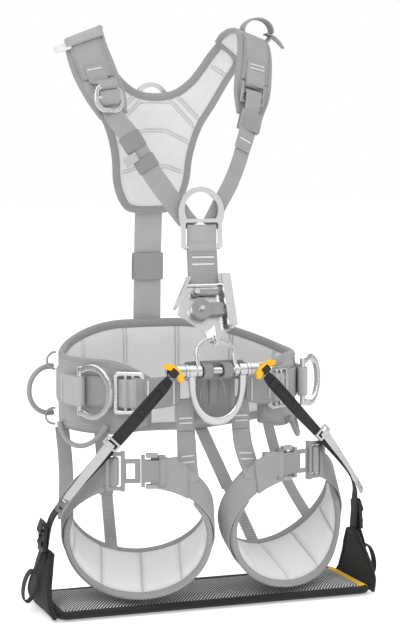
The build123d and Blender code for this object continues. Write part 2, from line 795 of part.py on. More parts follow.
def seat_tape():
    """The left pale adjusting tape beside the strap, with its two end plates."""
    stations = [
        ((-164, -174.5, -62), (0.7, -0.35, -0.6), 14),
        ((-196, -168.5, -102), (0.55, -0.68, -0.5), 13),
        ((-222, -158, -138), (0.5, -0.76, -0.45), 12),
    ]
    return ribbon(stations, 2.2)


def seat_tape_slide():
    """The metal slide at the top of the left tape."""
    frame = flat_frame(24, 13, 3, 3, 2)
    return Pos(-160, -175, -59) * Rot(0, 44, -8) * frame


def seat_tape_foot():
    """The slotted metal plate at the tape's lower end."""
    across = Vector(0.5, -0.76, -0.45)
    along = Vector(-26, 10.5, -36)
    plane = Plane(origin=(-226.2, -156.2, -143.6), x_dir=across, z_dir=along.cross(across))
    outline = RectangleRounded(14, 24, 3)
    slots = [Pos(0, y) * Rectangle(8, 3.6) for y in (-5.2, 5.2)]
    plate = plane * (outline - slots[0] - slots[1])
    return extrude(plate, 1.3, both=True)


def seat_lower_buckle():
    """The left lower ladder buckle and its folded webbing."""
    frame = flat_frame(30, 42, 5, 5, 3)
    bars = [Pos(0, 0, z) * Cylinder(2.4, 24, rotation=(0, 90, 0)) for z in (-8, 8)]
    return Pos(-243.5, -112, -196) * Rot(0, 4, 90) * (frame + bars[0] + bars[1])


def seat_tail():
    """The left pull tail, folded into a hand loop."""
    loop = Ellipse(10, 24) - Ellipse(7.4, 21.4)
    lead = Pos(5, 44) * Rot(0, 0, -4) * Rectangle(2.6, 46)
    strip = extrude(Plane.XZ * (loop + lead), 8, both=True)
    return Pos(-263, -112, -266) * Rot(0, 13, 0) * strip


def build():
    """Writes every node."""
    both = {
        "leg_pad": leg_pad(),
        "leg_webbing": leg_webbing(),
        "leg_buckle_tongue": leg_buckle_tongue(),
        "leg_buckle_body": leg_buckle_body(),
        "leg_tab_upper": leg_buckle_tab(1),
        "leg_tab_lower": leg_buckle_tab(-1),
    }
    for node, shape in both.items():
        save(f"{node}_left", shape)
        save(f"{node}_right", mirrored(shape))

    paired = {
        "seat_wings": seat_wing(),
        "seat_straps": seat_strap(),
        "seat_eyes": seat_eye(),
        "seat_toggles": seat_toggle(),
        "seat_tapes": seat_tape(),
        "seat_buckles": group(seat_tape_slide(), seat_tape_foot(), seat_lower_buckle()),
        "seat_tails": seat_tail(),
        "belt_buckles": belt_buckle(),
        "front_straps": front_strap(),
        "side_ring_mounts": side_mount(),
        "gear_loops_rear": gear_loop_rear(),
        "gear_loops_front": gear_loop_front(),
    }
    for node, shape in paired.items():
        save(node, group(shape, mirrored(shape)))
    save("belt_pad", belt_band(0, belt_thick, belt_end_angle, 0, 24))
    inner = -(belt_thick / 2 + liner_thick / 2 + soft_gap)
    save("belt_liner", belt_band(inner, liner_thick, belt_end_angle * 2 / 3, liner_inset, 16))
    save("belt_webbing", belt_webbing())
    save("ventral_bracket", ventral_bracket())
    save("ventral_pin", ventral_pin())
    save("pin_sleeves", pin_sleeves())
    save("ventral_panel", ventral_panel() + belt_leg_tab() + mirrored(belt_leg_tab()))
    save("ventral_ring", ventral_ring())
    save("ventral_link", ventral_link())
    save("side_ring_left", side_ring_placed(-1, side_ring_angle_left))
    save("side_ring_right", side_ring_placed(1, side_ring_angle_right))
    save("back_pad", back_pad())
    save("back_liner", back_liner())
    save("dorsal_plate", dorsal_plate())
    save("dorsal_ring", dorsal_ring())
    save("back_strap", back_strap())
    save("shoulder_pads", shoulder_pads())
    save("shoulder_buckles", group(shoulder_ring(), shoulder_slide()))
    save("chest_buckle", chest_buckle())
    save("shoulder_loops", group(shoulder_wrap(), shoulder_loop()))
    save("chest_straps", group(chest_strap(left_chest_points, 28), chest_strap(right_chest_points, 24)))
    keepers = [chest_keeper(left_chest_points, at, 34) for at in (0.25, 0.75)]
    save("strap_keepers", group(strap_keeper(158.7, 168, 52, 42, 9, 3), *keepers))
    save("sternal_ring", sternal_ring())
    save("sternal_webbing", sternal_webbing())
    save("ascender_frame", ascender_frame())
    save("ascender_cam", ascender_cam())
    save("ascender_catch", ascender_catch())
    save("seat_board", seat_board())
    save("seat_cover", seat_cover())
    save("seat_mesh", seat_mesh())
    save("seat_stripes", seat_stripe())
    for side, name, foot in ((-1, "left", (-132, -74, -223)), (1, "right", (86, -79, -229))):
        top = (side * 84, 138, belt_bottom_back - 1.5)
        save(f"leg_elastic_{name}", strap_between(top, foot, (1, 0, 0), 20, 3.0, 0))
    for side, name, foot in ((-1, "left", (-200, -71, -176)), (1, "right", (178, -68, -195))):
        top = (side * 170, 52, -84)
        save(f"leg_side_strap_{name}", strap_between(top, foot, (0.95, side * 0.3, 0), 18, 2.4, 0))


build()
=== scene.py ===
import math

import bpy
import numpy as np
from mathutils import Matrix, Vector, noise
from mathutils.geometry import delaunay_2d_cdt


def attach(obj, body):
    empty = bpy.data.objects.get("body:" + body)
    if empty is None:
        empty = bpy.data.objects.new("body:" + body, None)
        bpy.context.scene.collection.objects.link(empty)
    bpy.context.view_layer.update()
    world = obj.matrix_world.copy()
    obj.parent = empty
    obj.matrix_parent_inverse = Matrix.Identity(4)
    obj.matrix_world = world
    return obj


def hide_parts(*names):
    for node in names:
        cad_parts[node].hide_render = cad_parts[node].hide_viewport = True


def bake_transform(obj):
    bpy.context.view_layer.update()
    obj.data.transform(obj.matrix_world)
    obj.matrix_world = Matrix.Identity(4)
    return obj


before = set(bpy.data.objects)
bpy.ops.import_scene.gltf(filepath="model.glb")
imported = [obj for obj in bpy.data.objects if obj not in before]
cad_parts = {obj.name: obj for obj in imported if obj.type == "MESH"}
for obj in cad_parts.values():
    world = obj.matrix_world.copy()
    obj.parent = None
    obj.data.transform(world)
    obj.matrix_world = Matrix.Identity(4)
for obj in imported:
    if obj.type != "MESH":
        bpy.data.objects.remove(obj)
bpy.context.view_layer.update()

MM = 0.001


# ------------------------------------------------------------------ materials
def srgb(value):
    """A grey as it shows on screen, as the linear number a shader takes."""
    return ((value + 0.055) / 1.055) ** 2.4 if value > 0.04045 else value / 12.92


def tone(red, green=None, blue=None):
    """A linear colour from screen values."""
    green = red if green is None else green
    blue = red if blue is None else blue
    return (srgb(red), srgb(green), srgb(blue), 1.0)


def add(tree, kind, settings=(), **inputs):
    """A shader node with its settings and inputs; a socket is linked, anything else is a value."""
    made = tree.nodes.new("ShaderNode" + kind)
    for key, value in dict(settings).items():
        setattr(made, key, value)
    for key, value in inputs.items():
        socket = made.inputs[int(key[1:])] if key[0] == "i" and key[1:].isdigit() else made.inputs[key.replace("_", " ")]
        if isinstance(value, bpy.types.NodeSocket):
            tree.links.new(value, socket)
        else:
            socket.default_value = value
    return made


def waves(tree, vector, period, direction="X", distortion=0.0):
    """Even stripes of a period in metres."""
    made = add(tree, "TexWave", {"wave_type": "BANDS", "bands_direction": direction, "wave_profile": "SIN"},
               Vector=vector, Scale=0.31416 / period, Distortion=distortion, Detail=1.0, Detail_Scale=1.5)
    return made.outputs["Fac"]


def maths(tree, operation, a, b):
    """One calculation on two numbers or sockets."""
    return add(tree, "Math", {"operation": operation}, i0=a, i1=b).outputs[0]


def mix_colours(tree, factor, a, b):
    """A mix of two colours."""
    made = add(tree, "Mix", {"data_type": "RGBA"}, i0=factor, i6=a, i7=b)
    return made.outputs[2]


def material(name, roughness, metallic=0.0, sheen=0.0):
    """A new material with its node tree, its shader and the mesh's flat coordinates."""
    made = bpy.data.materials.new(name)
    made.use_nodes = True
    tree = made.node_tree
    shader = tree.nodes["Principled BSDF"]
    shader.inputs["Roughness"].default_value = roughness
    shader.inputs["Metallic"].default_value = metallic
    shader.inputs["Sheen Weight"].default_value = sheen
    shader.inputs["Sheen Roughness"].default_value = 0.5
    place = tree.nodes.new("ShaderNodeTexCoord")
    return made, tree, shader, place


def bump(tree, shader, height, strength, distance):
    """Relief from a height."""
    made = add(tree, "Bump", Height=height, Strength=strength, Distance=distance)
    tree.links.new(made.outputs[0], shader.inputs["Normal"])


def cloth_material(name, light, dark, period, relief=0.5, sheen=0.15, mottle=0.35, slant=0.0):
    """Plain woven cloth: crossed threads, uneven dye and a soft nap."""
    made, tree, shader, place = material(name, 0.86, sheen=sheen)
    turned = add(tree, "Mapping", Vector=place.outputs["UV"], Rotation=(0.0, 0.0, slant))
    uv = turned.outputs[0]
    warp = waves(tree, uv, period, "X", 0.4)
    weft = waves(tree, uv, period, "Y", 0.4)
    threads = maths(tree, "MULTIPLY", warp, weft)
    cloud = add(tree, "TexNoise", Vector=place.outputs["Object"], Scale=38.0, Detail=5.0, Roughness=0.6)
    speck = add(tree, "TexNoise", Vector=place.outputs["Object"], Scale=900.0, Detail=2.0, Roughness=0.6)
    spread = maths(tree, "MULTIPLY", cloud.outputs["Fac"], mottle)
    level = maths(tree, "ADD", maths(tree, "MULTIPLY", threads, 0.5), spread)
    level = maths(tree, "ADD", level, maths(tree, "MULTIPLY", speck.outputs["Fac"], 0.3))
    colour = mix_colours(tree, level, dark, light)
    tree.links.new(colour, shader.inputs["Base Color"])
    rough = add(tree, "MapRange", Value=level, To_Min=0.92, To_Max=0.78)
    tree.links.new(rough.outputs[0], shader.inputs["Roughness"])
    height = maths(tree, "ADD", threads, maths(tree, "MULTIPLY", speck.outputs["Fac"], 0.5))
    bump(tree, shader, height, relief, 0.0004)
    return made


def webbing_material(name, light, dark, rib, column, relief=0.6, sheen=0.1, mottle=0.3):
    """Flat webbing: ribs across it and columns of thread along it."""
    made, tree, shader, place = material(name, 0.8, sheen=sheen)
    uv = place.outputs["UV"]
    ribs = waves(tree, uv, rib, "X", 0.15)
    columns = waves(tree, uv, column, "Y", 0.0)
    threads = add(tree, "MapRange", Value=maths(tree, "MULTIPLY", ribs, maths(tree, "ADD", columns, 0.25)),
                  To_Max=0.8).outputs[0]
    cloud = add(tree, "TexNoise", Vector=place.outputs["Object"], Scale=30.0, Detail=4.0, Roughness=0.55)
    speck = add(tree, "TexNoise", Vector=place.outputs["Object"], Scale=700.0, Detail=2.0)
    level = maths(tree, "ADD", maths(tree, "MULTIPLY", threads, 0.7), maths(tree, "MULTIPLY", cloud.outputs["Fac"], mottle))
    level = maths(tree, "ADD", level, maths(tree, "MULTIPLY", speck.outputs["Fac"], 0.15))
    tree.links.new(mix_colours(tree, level, dark, light), shader.inputs["Base Color"])
    rough = add(tree, "MapRange", Value=level, To_Min=0.9, To_Max=0.68)
    tree.links.new(rough.outputs[0], shader.inputs["Roughness"])
    bump(tree, shader, threads, relief, 0.0006)
    return made


def mesh_material(name):
    """Open spacer mesh: pale slanting threads over dark holes."""
    made, tree, shader, place = material(name, 0.75, sheen=0.2)
    place_uv = place.outputs["UV"]
    cross = add(tree, "Mapping", Vector=place_uv, Rotation=(0.0, 0.0, math.radians(38)))
    other = add(tree, "Mapping", Vector=place_uv, Rotation=(0.0, 0.0, math.radians(-62)))
    strong = waves(tree, cross.outputs[0], 0.0038, "X", 0.3)
    weak = waves(tree, other.outputs[0], 0.0030, "X", 0.3)
    net = maths(tree, "MAXIMUM", maths(tree, "MULTIPLY", strong, 1.0), maths(tree, "MULTIPLY", weak, 0.62))
    edge = add(tree, "MapRange", {"interpolation_type": "SMOOTHSTEP"}, Value=net, From_Min=0.50, From_Max=0.78)
    cloud = add(tree, "TexNoise", Vector=place.outputs["Object"], Scale=22.0, Detail=3.0)
    shade = maths(tree, "MULTIPLY", edge.outputs[0], maths(tree, "ADD", maths(tree, "MULTIPLY", cloud.outputs["Fac"], 0.5), 0.6))
    tree.links.new(mix_colours(tree, shade, tone(0.11), tone(0.9)), shader.inputs["Base Color"])
    rough = add(tree, "MapRange", Value=edge.outputs[0], To_Min=0.95, To_Max=0.6)
    tree.links.new(rough.outputs[0], shader.inputs["Roughness"])
    bump(tree, shader, edge.outputs[0], 0.9, 0.0012)
    return made


def metal_material(name, colour, dark, roughness, grain=260.0, relief=0.01):
    """Forged and tumbled metal: fine grain, cloudy polish and faint handling marks."""
    made, tree, shader, place = material(name, roughness, metallic=1.0)
    cloud = add(tree, "TexNoise", Vector=place.outputs["Object"], Scale=45.0, Detail=6.0, Roughness=0.65)
    fine = add(tree, "TexNoise", Vector=place.outputs["Object"], Scale=grain, Detail=4.0, Roughness=0.7)
    scratch_place = add(tree, "Mapping", Vector=place.outputs["Object"], Rotation=(0.3, 0.5, 0.8), Scale=(1.0, 9.0, 9.0))
    scratch = add(tree, "TexNoise", Vector=scratch_place.outputs[0], Scale=120.0, Detail=3.0)
    marks = add(tree, "MapRange", Value=scratch.outputs["Fac"], From_Min=0.6, From_Max=0.75)
    level = maths(tree, "MULTIPLY", cloud.outputs["Fac"], 0.8)
    colour_out = mix_colours(tree, level, dark, colour)
    tree.links.new(colour_out, shader.inputs["Base Color"])
    spread = maths(tree, "ADD", maths(tree, "MULTIPLY", cloud.outputs["Fac"], 0.25),
                   maths(tree, "MULTIPLY", marks.outputs[0], 0.12))
    rough = maths(tree, "ADD", spread, roughness - 0.12)
    tree.links.new(rough, shader.inputs["Roughness"])
    height = maths(tree, "ADD", maths(tree, "MULTIPLY", fine.outputs["Fac"], 0.7), maths(tree, "MULTIPLY", marks.outputs[0], -0.4))
    bump(tree, shader, height, relief, 0.0005)
    return made


def plastic_material(name, colour, dark, roughness, grain=1400.0):
    """Moulded plastic with a fine spark-eroded skin."""
    made, tree, shader, place = material(name, roughness)
    cloud = add(tree, "TexNoise", Vector=place.outputs["Object"], Scale=60.0, Detail=4.0)
    skin = add(tree, "TexNoise", Vector=place.outputs["Object"], Scale=grain, Detail=2.0)
    tree.links.new(mix_colours(tree, cloud.outputs["Fac"], dark, colour), shader.inputs["Base Color"])
    rough = add(tree, "MapRange", Value=skin.outputs["Fac"], To_Min=roughness - 0.1, To_Max=roughness + 0.12)
    tree.links.new(rough.outputs[0], shader.inputs["Roughness"])
    bump(tree, shader, skin.outputs["Fac"], 0.25, 0.0003)
    return made


SHELL = cloth_material("shell_cloth", tone(0.70), tone(0.55), 0.0011)
TRIM = cloth_material("edge_binding", tone(0.64), tone(0.50), 0.0014, relief=0.6)
LINING = cloth_material("lining_mesh", tone(0.90), tone(0.79), 0.0017, relief=0.7, slant=0.785)
WEBBING = webbing_material("harness_webbing", tone(0.67), tone(0.51), 0.0022, 0.0024)
PALE_WEBBING = webbing_material("light_webbing", tone(0.76), tone(0.60), 0.0018, 0.0026)
DARK_WEBBING = webbing_material("deep_webbing", tone(0.60), tone(0.44), 0.0020, 0.0022)
ELASTIC = webbing_material("ribbed_elastic", tone(0.72), tone(0.48), 0.0050, 0.0020)
# The lining cloth again at a darker tone, not a different fabric: painted shade for the bottoms of the quilting
# channels.
SHADED_LINING = cloth_material("lining_painted_shade", tone(0.80), tone(0.68), 0.0017, relief=0.7, slant=0.785)
THREAD = cloth_material("light_thread", tone(0.92), tone(0.78), 0.0009)
GREY_THREAD = cloth_material("grey_thread", tone(0.60), tone(0.45), 0.0009)
TUBE = webbing_material("loop_cover", tone(0.68), tone(0.56), 0.0020, 0.0030)
FORGED = metal_material("forged_metal", tone(0.97), tone(0.86), 0.26)
PIN = metal_material("pin_steel", tone(0.92), tone(0.78), 0.20)
TOOTHED = metal_material("toothed_steel", tone(0.76), tone(0.58), 0.38, relief=0.06)
BUCKLE = metal_material("buckle_metal", tone(0.76), tone(0.62), 0.45, relief=0.05)
SILVER = metal_material("slide_metal", tone(0.92), tone(0.80), 0.35, relief=0.04)
GREY_PLASTIC = plastic_material("grey_plastic", tone(0.66), tone(0.56), 0.5)
BLACK_WEBBING = webbing_material("black_webbing", tone(0.22), tone(0.06), 0.0021, 0.0023, relief=0.9, sheen=0.08)
BLACK_CLOTH = cloth_material("black_cloth", tone(0.16), tone(0.05), 0.0012, relief=0.6, sheen=0.06)
BLACK_TRIM = webbing_material("black_binding", tone(0.15), tone(0.05), 0.0016, 0.0018, relief=0.6, sheen=0.05)
BLACK_PLASTIC = plastic_material("black_plastic", tone(0.12), tone(0.06), 0.4)
YELLOW = plastic_material("yellow_plastic", tone(1.0, 0.74, 0.05), tone(0.95, 0.64, 0.02), 0.42)
YELLOW_CLOTH = webbing_material("yellow_binding", tone(1.0, 0.86, 0.16), tone(0.95, 0.72, 0.05), 0.0014, 0.0016)
PALE_TAPE = webbing_material("pale_tape", tone(0.80), tone(0.66), 0.0020, 0.0021, relief=0.4)
MESH = mesh_material("spacer_mesh")


# ------------------------------------------------------------------ mesh building
def unit(array):
    """Each vector at length one."""
    length = np.linalg.norm(array, axis=-1, keepdims=True)
    return array / np.maximum(length, 1e-9)


def make_object(name, points, faces, zones, coords, materials, body, replaces=()):
    """A mesh object in metres from points in millimetres, riding on its body."""
    mesh = bpy.data.meshes.new(name)
    mesh.from_pydata([tuple(p) for p in np.asarray(points) * MM], [], faces)
    for made in materials:
        mesh.materials.append(made)
    mesh.polygons.foreach_set("material_index", zones)
    mesh.polygons.foreach_set("use_smooth", [True] * len(faces))
    layer = mesh.uv_layers.new(name="UVMap")
    loops = np.zeros(len(mesh.loops), dtype=np.int32)
    mesh.loops.foreach_get("vertex_index", loops)
    layer.data.foreach_set("uv", (np.asarray(coords)[loops] * MM).astype(np.float32).ravel())
    mesh.update()
    made = bpy.data.objects.new(name, mesh)
    bpy.context.scene.collection.objects.link(made)
    if isinstance(body, str):
        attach(made, body)
    if replaces:
        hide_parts(*replaces)
    return made


def hold(made, weights):
    """Marks how firmly each point is held by seams while the padding swells, 1 for sewn down."""
    group = made.vertex_groups.new(name="sewn")
    levels = np.round(np.clip(weights, 0, 1) * 10) / 10
    for level in np.unique(levels):
        if level > 0:
            group.add([int(i) for i in np.nonzero(levels == level)[0]], float(level), "REPLACE")


def swell(made, pressure=4.0, cap=3.0, stiffness=14.0):
    """Swells a padded piece between its seams by cloth simulation, then keeps the result in the mesh."""
    scene = bpy.context.scene
    cloth = made.modifiers.new("swell", "CLOTH")
    cloth.settings.quality = 5
    cloth.settings.mass = 0.25
    cloth.settings.tension_stiffness = stiffness
    cloth.settings.compression_stiffness = stiffness
    cloth.settings.shear_stiffness = stiffness * 0.5
    cloth.settings.bending_stiffness = 1.2
    cloth.settings.use_pressure = True
    cloth.settings.uniform_pressure_force = pressure
    cloth.settings.vertex_group_mass = "sewn"
    cloth.settings.pin_stiffness = 1.0
    cloth.settings.effector_weights.gravity = 0.0
    cloth.settings.air_damping = 6.0
    cloth.collision_settings.use_collision = False
    cloth.point_cache.frame_start = 1
    cloth.point_cache.frame_end = 20
    before = np.zeros(len(made.data.vertices) * 3)
    made.data.vertices.foreach_get("co", before)
    for step in range(1, 21):
        scene.frame_set(step)
    result = made.evaluated_get(bpy.context.evaluated_depsgraph_get()).to_mesh()
    after = np.zeros(len(before))
    result.vertices.foreach_get("co", after)
    made.to_mesh_clear()
    made.modifiers.remove(cloth)
    scene.frame_set(1)
    move = (after - before).reshape(-1, 3)
    move[~np.isfinite(move).all(1)] = 0
    size = np.linalg.norm(move, axis=1, keepdims=True)
    move = move * np.minimum(1.0, cap * MM / np.maximum(size, 1e-12))
    made.data.vertices.foreach_set("co", (before.reshape(-1, 3) + move).ravel())
    made.data.update()


def cell_zone(zone, i, j):
    """The zone of one cell of a grid: the edge binding wins over the inner cloth."""
    corners = [int(zone[i, j]), int(zone[i + 1, j]), int(zone[i, j + 1]), int(zone[i + 1, j + 1])]
    if 1 in corners:
        return 1
    return max(corners, key=corners.count)


def shell(name, centre, out, back, uv, materials, body, zone_out=None, zone_back=None, zone_rim=0,
          replaces=(), side=-1, rim=0.35, sewn=None):
    """A closed band from a grid of middle points and its thickness on each face.

    side is -1 as given, +1 for the same piece on the wearer's other side.
    """
    centre = np.asarray(centre, dtype=float)
    rows, columns = centre.shape[:2]
    out = np.broadcast_to(np.asarray(out, dtype=float), (rows, columns))
    back = np.broadcast_to(np.asarray(back, dtype=float), (rows, columns))
    zone_out = np.zeros((rows, columns), int) if zone_out is None else zone_out
    zone_back = np.zeros((rows, columns), int) if zone_back is None else zone_back
    uv = np.asarray(uv, dtype=float)
    if side > 0:
        centre = centre[::-1] * np.array([-1.0, 1.0, 1.0])
        out, back, uv = out[::-1], back[::-1], uv[::-1]
        zone_out, zone_back = zone_out[::-1], zone_back[::-1]
        sewn = None if sewn is None else (sewn[0][::-1], sewn[1][::-1])
    along = unit(np.gradient(centre, axis=0))
    across = unit(np.gradient(centre, axis=1))
    normal = unit(np.cross(along, across))
    top = centre + normal * out[..., None]
    low = centre - normal * back[..., None]
    border = [(i, 0) for i in range(rows - 1)]
    border += [(rows - 1, j) for j in range(columns - 1)]
    border += [(i, columns - 1) for i in range(rows - 1, 0, -1)]
    border += [(0, j) for j in range(columns - 1, 0, -1)]
    middle = []
    for i, j in border:
        push = np.zeros(3)
        if j == 0:
            push = push - across[i, j]
        if j == columns - 1:
            push = push + across[i, j]
        if i == 0:
            push = push - along[i, j]
        if i == rows - 1:
            push = push + along[i, j]
        push = push / max(np.linalg.norm(push), 1e-9)
        middle.append((top[i, j] + low[i, j]) / 2 + push * (out[i, j] + back[i, j]) * rim)
    count = rows * columns
    points = np.concatenate([top.reshape(-1, 3), low.reshape(-1, 3), np.array(middle)])
    coords = np.concatenate([uv.reshape(-1, 2), uv.reshape(-1, 2), np.array([uv[i, j] for i, j in border])])
    faces = []
    zones = []
    for i in range(rows - 1):
        for j in range(columns - 1):
            a = i * columns + j
            b = a + columns
            faces.append((a, b, b + 1, a + 1))
            zones.append(cell_zone(zone_out, i, j))
            faces.append((count + a, count + a + 1, count + b + 1, count + b))
            zones.append(cell_zone(zone_back, i, j))
    ring = len(border)
    for k in range(ring):
        nxt = (k + 1) % ring
        a = border[k][0] * columns + border[k][1]
        b = border[nxt][0] * columns + border[nxt][1]
        mid_a = 2 * count + k
        mid_b = 2 * count + nxt
        faces.append((b, a, mid_a, mid_b))
        faces.append((mid_b, mid_a, count + a, count + b))
        zones += [zone_rim, zone_rim]
    made = make_object(name, points, faces, zones, coords, materials, body, replaces)
    if sewn is not None:
        hold(made, np.concatenate([sewn[0].ravel(), sewn[1].ravel(), np.ones(ring)]))
    return made


def smooth_line(points, steps):
    """A smooth line through points, with steps samples for each run (rows may hold any numbers)."""
    points = np.asarray(points, dtype=float)
    padded = np.concatenate([[2 * points[0] - points[1]], points, [2 * points[-1] - points[-2]]])
    rows = []
    for k in range(1, len(padded) - 2):
        p0, p1, p2, p3 = padded[k - 1], padded[k], padded[k + 1], padded[k + 2]
        for i in range(steps):
            t = i / steps
            rows.append(0.5 * (2 * p1 + (p2 - p0) * t + (2 * p0 - 5 * p1 + 4 * p2 - p3) * t * t
                               + (3 * p1 - p0 - 3 * p2 + p3) * t ** 3))
    rows.append(points[-1])
    return np.array(rows)


def strap_grid(stations, steps, columns):
    """Middle points and flat coordinates of a strap through stations (centre, width direction, width)."""
    table = []
    for centre, direction, width in stations:
        length = math.sqrt(sum(v * v for v in direction))
        table.append(list(centre) + [v / length for v in direction] + [width])
    line = smooth_line(table, steps)
    middle = line[:, :3]
    across = unit(line[:, 3:6])
    width = line[:, 6]
    run = np.concatenate([[0], np.cumsum(np.linalg.norm(np.diff(middle, axis=0), axis=1))])
    share = np.linspace(-0.5, 0.5, columns)
    grid = middle[:, None, :] + across[:, None, :] * (share[None, :, None] * width[:, None, None])
    uv = np.stack([np.repeat(run[:, None], columns, 1), share[None, :] * width[:, None]], -1)
    return grid, uv, run, width


def strap(name, stations, thickness, made, body, replaces=(), side=-1, steps=8, columns=13, ribs=0.0,
          rib_period=3.4, wrinkle=0.25, crown=0.0):
    """A webbing strap with thin edges, a sewn selvedge and small waves."""
    grid, uv, run, width = strap_grid(stations, steps, columns)
    if ribs:
        fine = int(run[-1] / rib_period * 6)
        at = np.linspace(0, run[-1], fine)
        grid = np.stack([[np.interp(at, run, grid[:, j, k]) for j in range(columns)] for k in range(3)], -1)
        grid = grid.transpose(1, 0, 2)
        middle = grid.mean(1, keepdims=True)
        grid = middle + (grid - middle) * (1 + 0.08 * np.cos(2 * math.pi * at / rib_period))[:, None, None]
        wide = np.interp(at, run, width)
        share = np.linspace(-0.5, 0.5, columns)
        uv = np.stack([np.repeat(at[:, None], columns, 1), share[None, :] * wide[:, None]], -1)
        run = at
    edge = np.abs(np.linspace(-1, 1, columns))
    profile = 1.0 - 0.28 * edge ** 8 + crown * (1 - edge ** 2)
    half = thickness / 2 * np.repeat(profile[None, :], len(run), 0)
    if ribs:
        half = half + ribs * (0.5 + 0.5 * np.cos(2 * math.pi * run / rib_period))[:, None] * (1 - edge ** 6)[None, :]
    shift = np.array([[noise.noise(Vector(grid[i, j] * 0.022)) for j in range(columns)] for i in range(len(run))])
    along = unit(np.gradient(grid, axis=0))
    across = unit(np.gradient(grid, axis=1))
    normal = unit(np.cross(along, across))
    grid = grid + normal * (shift * wrinkle)[..., None]
    return shell(name, grid, half, half, uv, [made], body, replaces=replaces, side=side)


def bars(name, places, made, body, side=-1, replaces=()):
    """Bar tacks: short raised rows of thread. A place is (middle, along, normal, length, width)."""
    points, faces, coords = [], [], []
    for middle, along, normal, length, width in places:
        middle = Vector(middle)
        along = Vector(along).normalized()
        normal = Vector(normal).normalized()
        across = normal.cross(along)
        count = max(4, int(length / 0.9))
        base = len(points)
        for i in range(count + 1):
            share = i / count - 0.5
            lift = 0.55 + 0.2 * (i % 2)
            fade = 0.35 if i in (0, count) else 1.0
            for k in range(5):
                turn = math.pi * k / 4
                point = middle + along * (share * length) + across * (math.cos(turn) * width / 2 * fade)
                point = point + normal * (math.sin(turn) * lift * fade - 0.15)
                if side > 0:
                    point = Vector((-point.x, point.y, point.z))
                points.append(tuple(point))
                coords.append((share * length, turn))
        for i in range(count):
            for k in range(4):
                a = base + i * 5 + k
                quad = (a, a + 5, a + 6, a + 1)
                faces.append(quad if side < 0 else quad[::-1])
            a = base + i * 5
            quad = (a, a + 4, a + 9, a + 5)
            faces.append(quad if side < 0 else quad[::-1])
        first = tuple(base + k for k in range(5))
        last = tuple(base + count * 5 + k for k in range(4, -1, -1))
        faces.append(first if side < 0 else first[::-1])
        faces.append(last if side < 0 else last[::-1])
    return make_object(name, points, faces, [0] * len(faces), coords, [made], body, replaces)


def stitches(name, line, normals, made, body, stitch=3.2, gap=1.3, radius=0.42, side=-1):
    """A row of separate stitches lying along a line of points."""
    line = np.asarray(line, dtype=float)
    normals = unit(np.asarray(normals, dtype=float))
    run = np.concatenate([[0], np.cumsum(np.linalg.norm(np.diff(line, axis=0), axis=1))])
    places = []
    at = gap
    while at + stitch < run[-1]:
        ends = [np.array([np.interp(v, run, line[:, k]) for k in range(3)]) for v in (at, at + stitch)]
        face = np.array([np.interp(at, run, normals[:, k]) for k in range(3)])
        middle = (ends[0] + ends[1]) / 2
        places.append((tuple(middle), tuple(ends[1] - ends[0]), tuple(face)))
        at += stitch + gap
    points, faces, coords = [], [], []
    for middle, along, normal in places:
        middle = Vector(middle)
        along = Vector(along).normalized()
        normal = Vector(normal).normalized()
        across = normal.cross(along)
        base = len(points)
        for share, size in ((-0.5, 0.3), (-0.3, 1.0), (0.3, 1.0), (0.5, 0.3)):
            for k in range(6):
                turn = math.pi * k / 3
                point = middle + along * (share * stitch) + across * (math.cos(turn) * radius * size)
                point = point + normal * (math.sin(turn) * radius * size + 0.1 - (0.3 if size < 1 else 0))
                if side > 0:
                    point = Vector((-point.x, point.y, point.z))
                points.append(tuple(point))
                coords.append((share * stitch, k))
        quads = [(base + r * 6 + k, base + r * 6 + 6 + k, base + r * 6 + 6 + (k + 1) % 6, base + r * 6 + (k + 1) % 6)
                 for r in range(3) for k in range(6)]
        caps = [tuple(base + k for k in range(6)), tuple(base + 18 + k for k in range(5, -1, -1))]
        for face in quads + caps:
            faces.append(face if side < 0 else face[::-1])
    return make_object(name, points, faces, [0] * len(faces), coords, [made], body)


def groove(distance, width):
    """A soft channel: one on its line, falling to nothing beside it."""
    return np.exp(-(np.asarray(distance) / width) ** 2)


def paint_nodes(made, *nodes):
    """Gives CAD nodes a material."""
    for name in nodes:
        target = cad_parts[name]
        target.data.materials.clear()
        target.data.materials.append(made)


# ------------------------------------------------------------------ belt
BELT_X, BELT_Y, BELT_SET = 177.0, 140.0, 10.0
BELT_END = 152.0


def belt_limits(angle):
    """Lowest and highest edge of the belt at an angle from the middle of the back."""
    share = np.clip((np.abs(angle) - 14.0) / 80.0, 0.0, 1.0)
    share = share * share * (3 - 2 * share)
    rounding = np.maximum(0.0, np.abs(angle) - 126.0) / (BELT_END - 126.0)
    top = 84.0 - 37.0 * share - 24.0 * rounding ** 2
    low = -94.0 + 34.0 * share + 12.0 * rounding ** 2
    return low, top


def belt_point(angle, offset, height):
    """A point at an angle round the belt, set out from its middle surface."""
    rad = np.radians(angle)
    x = (BELT_X + offset) * np.sin(rad)
    y = BELT_SET + (BELT_Y + offset) * np.cos(rad)
    return np.stack(np.broadcast_arrays(x, y, height), -1)


def ticks(length, border, step, marks=()):
    """Positions along a length: fine at both ends, at the border seam and beside each mark, even between."""
    ends = [0.0, 0.8, 2.0, 3.4, 5.0, border - 2.4, border - 1.0, border, border + 1.0, border + 2.6, border + 5.0]
    found = sorted(ends + [length - v for v in ends])
    low, high = border + 5.0, length - border - 5.0
    count = max(2, int((high - low) / step))
    found += list(np.linspace(low, high, count + 1)[1:-1])
    for mark in marks:
        near = [mark + v for v in (-7, -5, -4, -3, -2, -1, 0, 1, 2, 3, 4, 5, 7)]
        found = [v for v in found if abs(v - mark) > 7.6] + [v for v in near if low < v < high]
    return np.array(sorted(found))


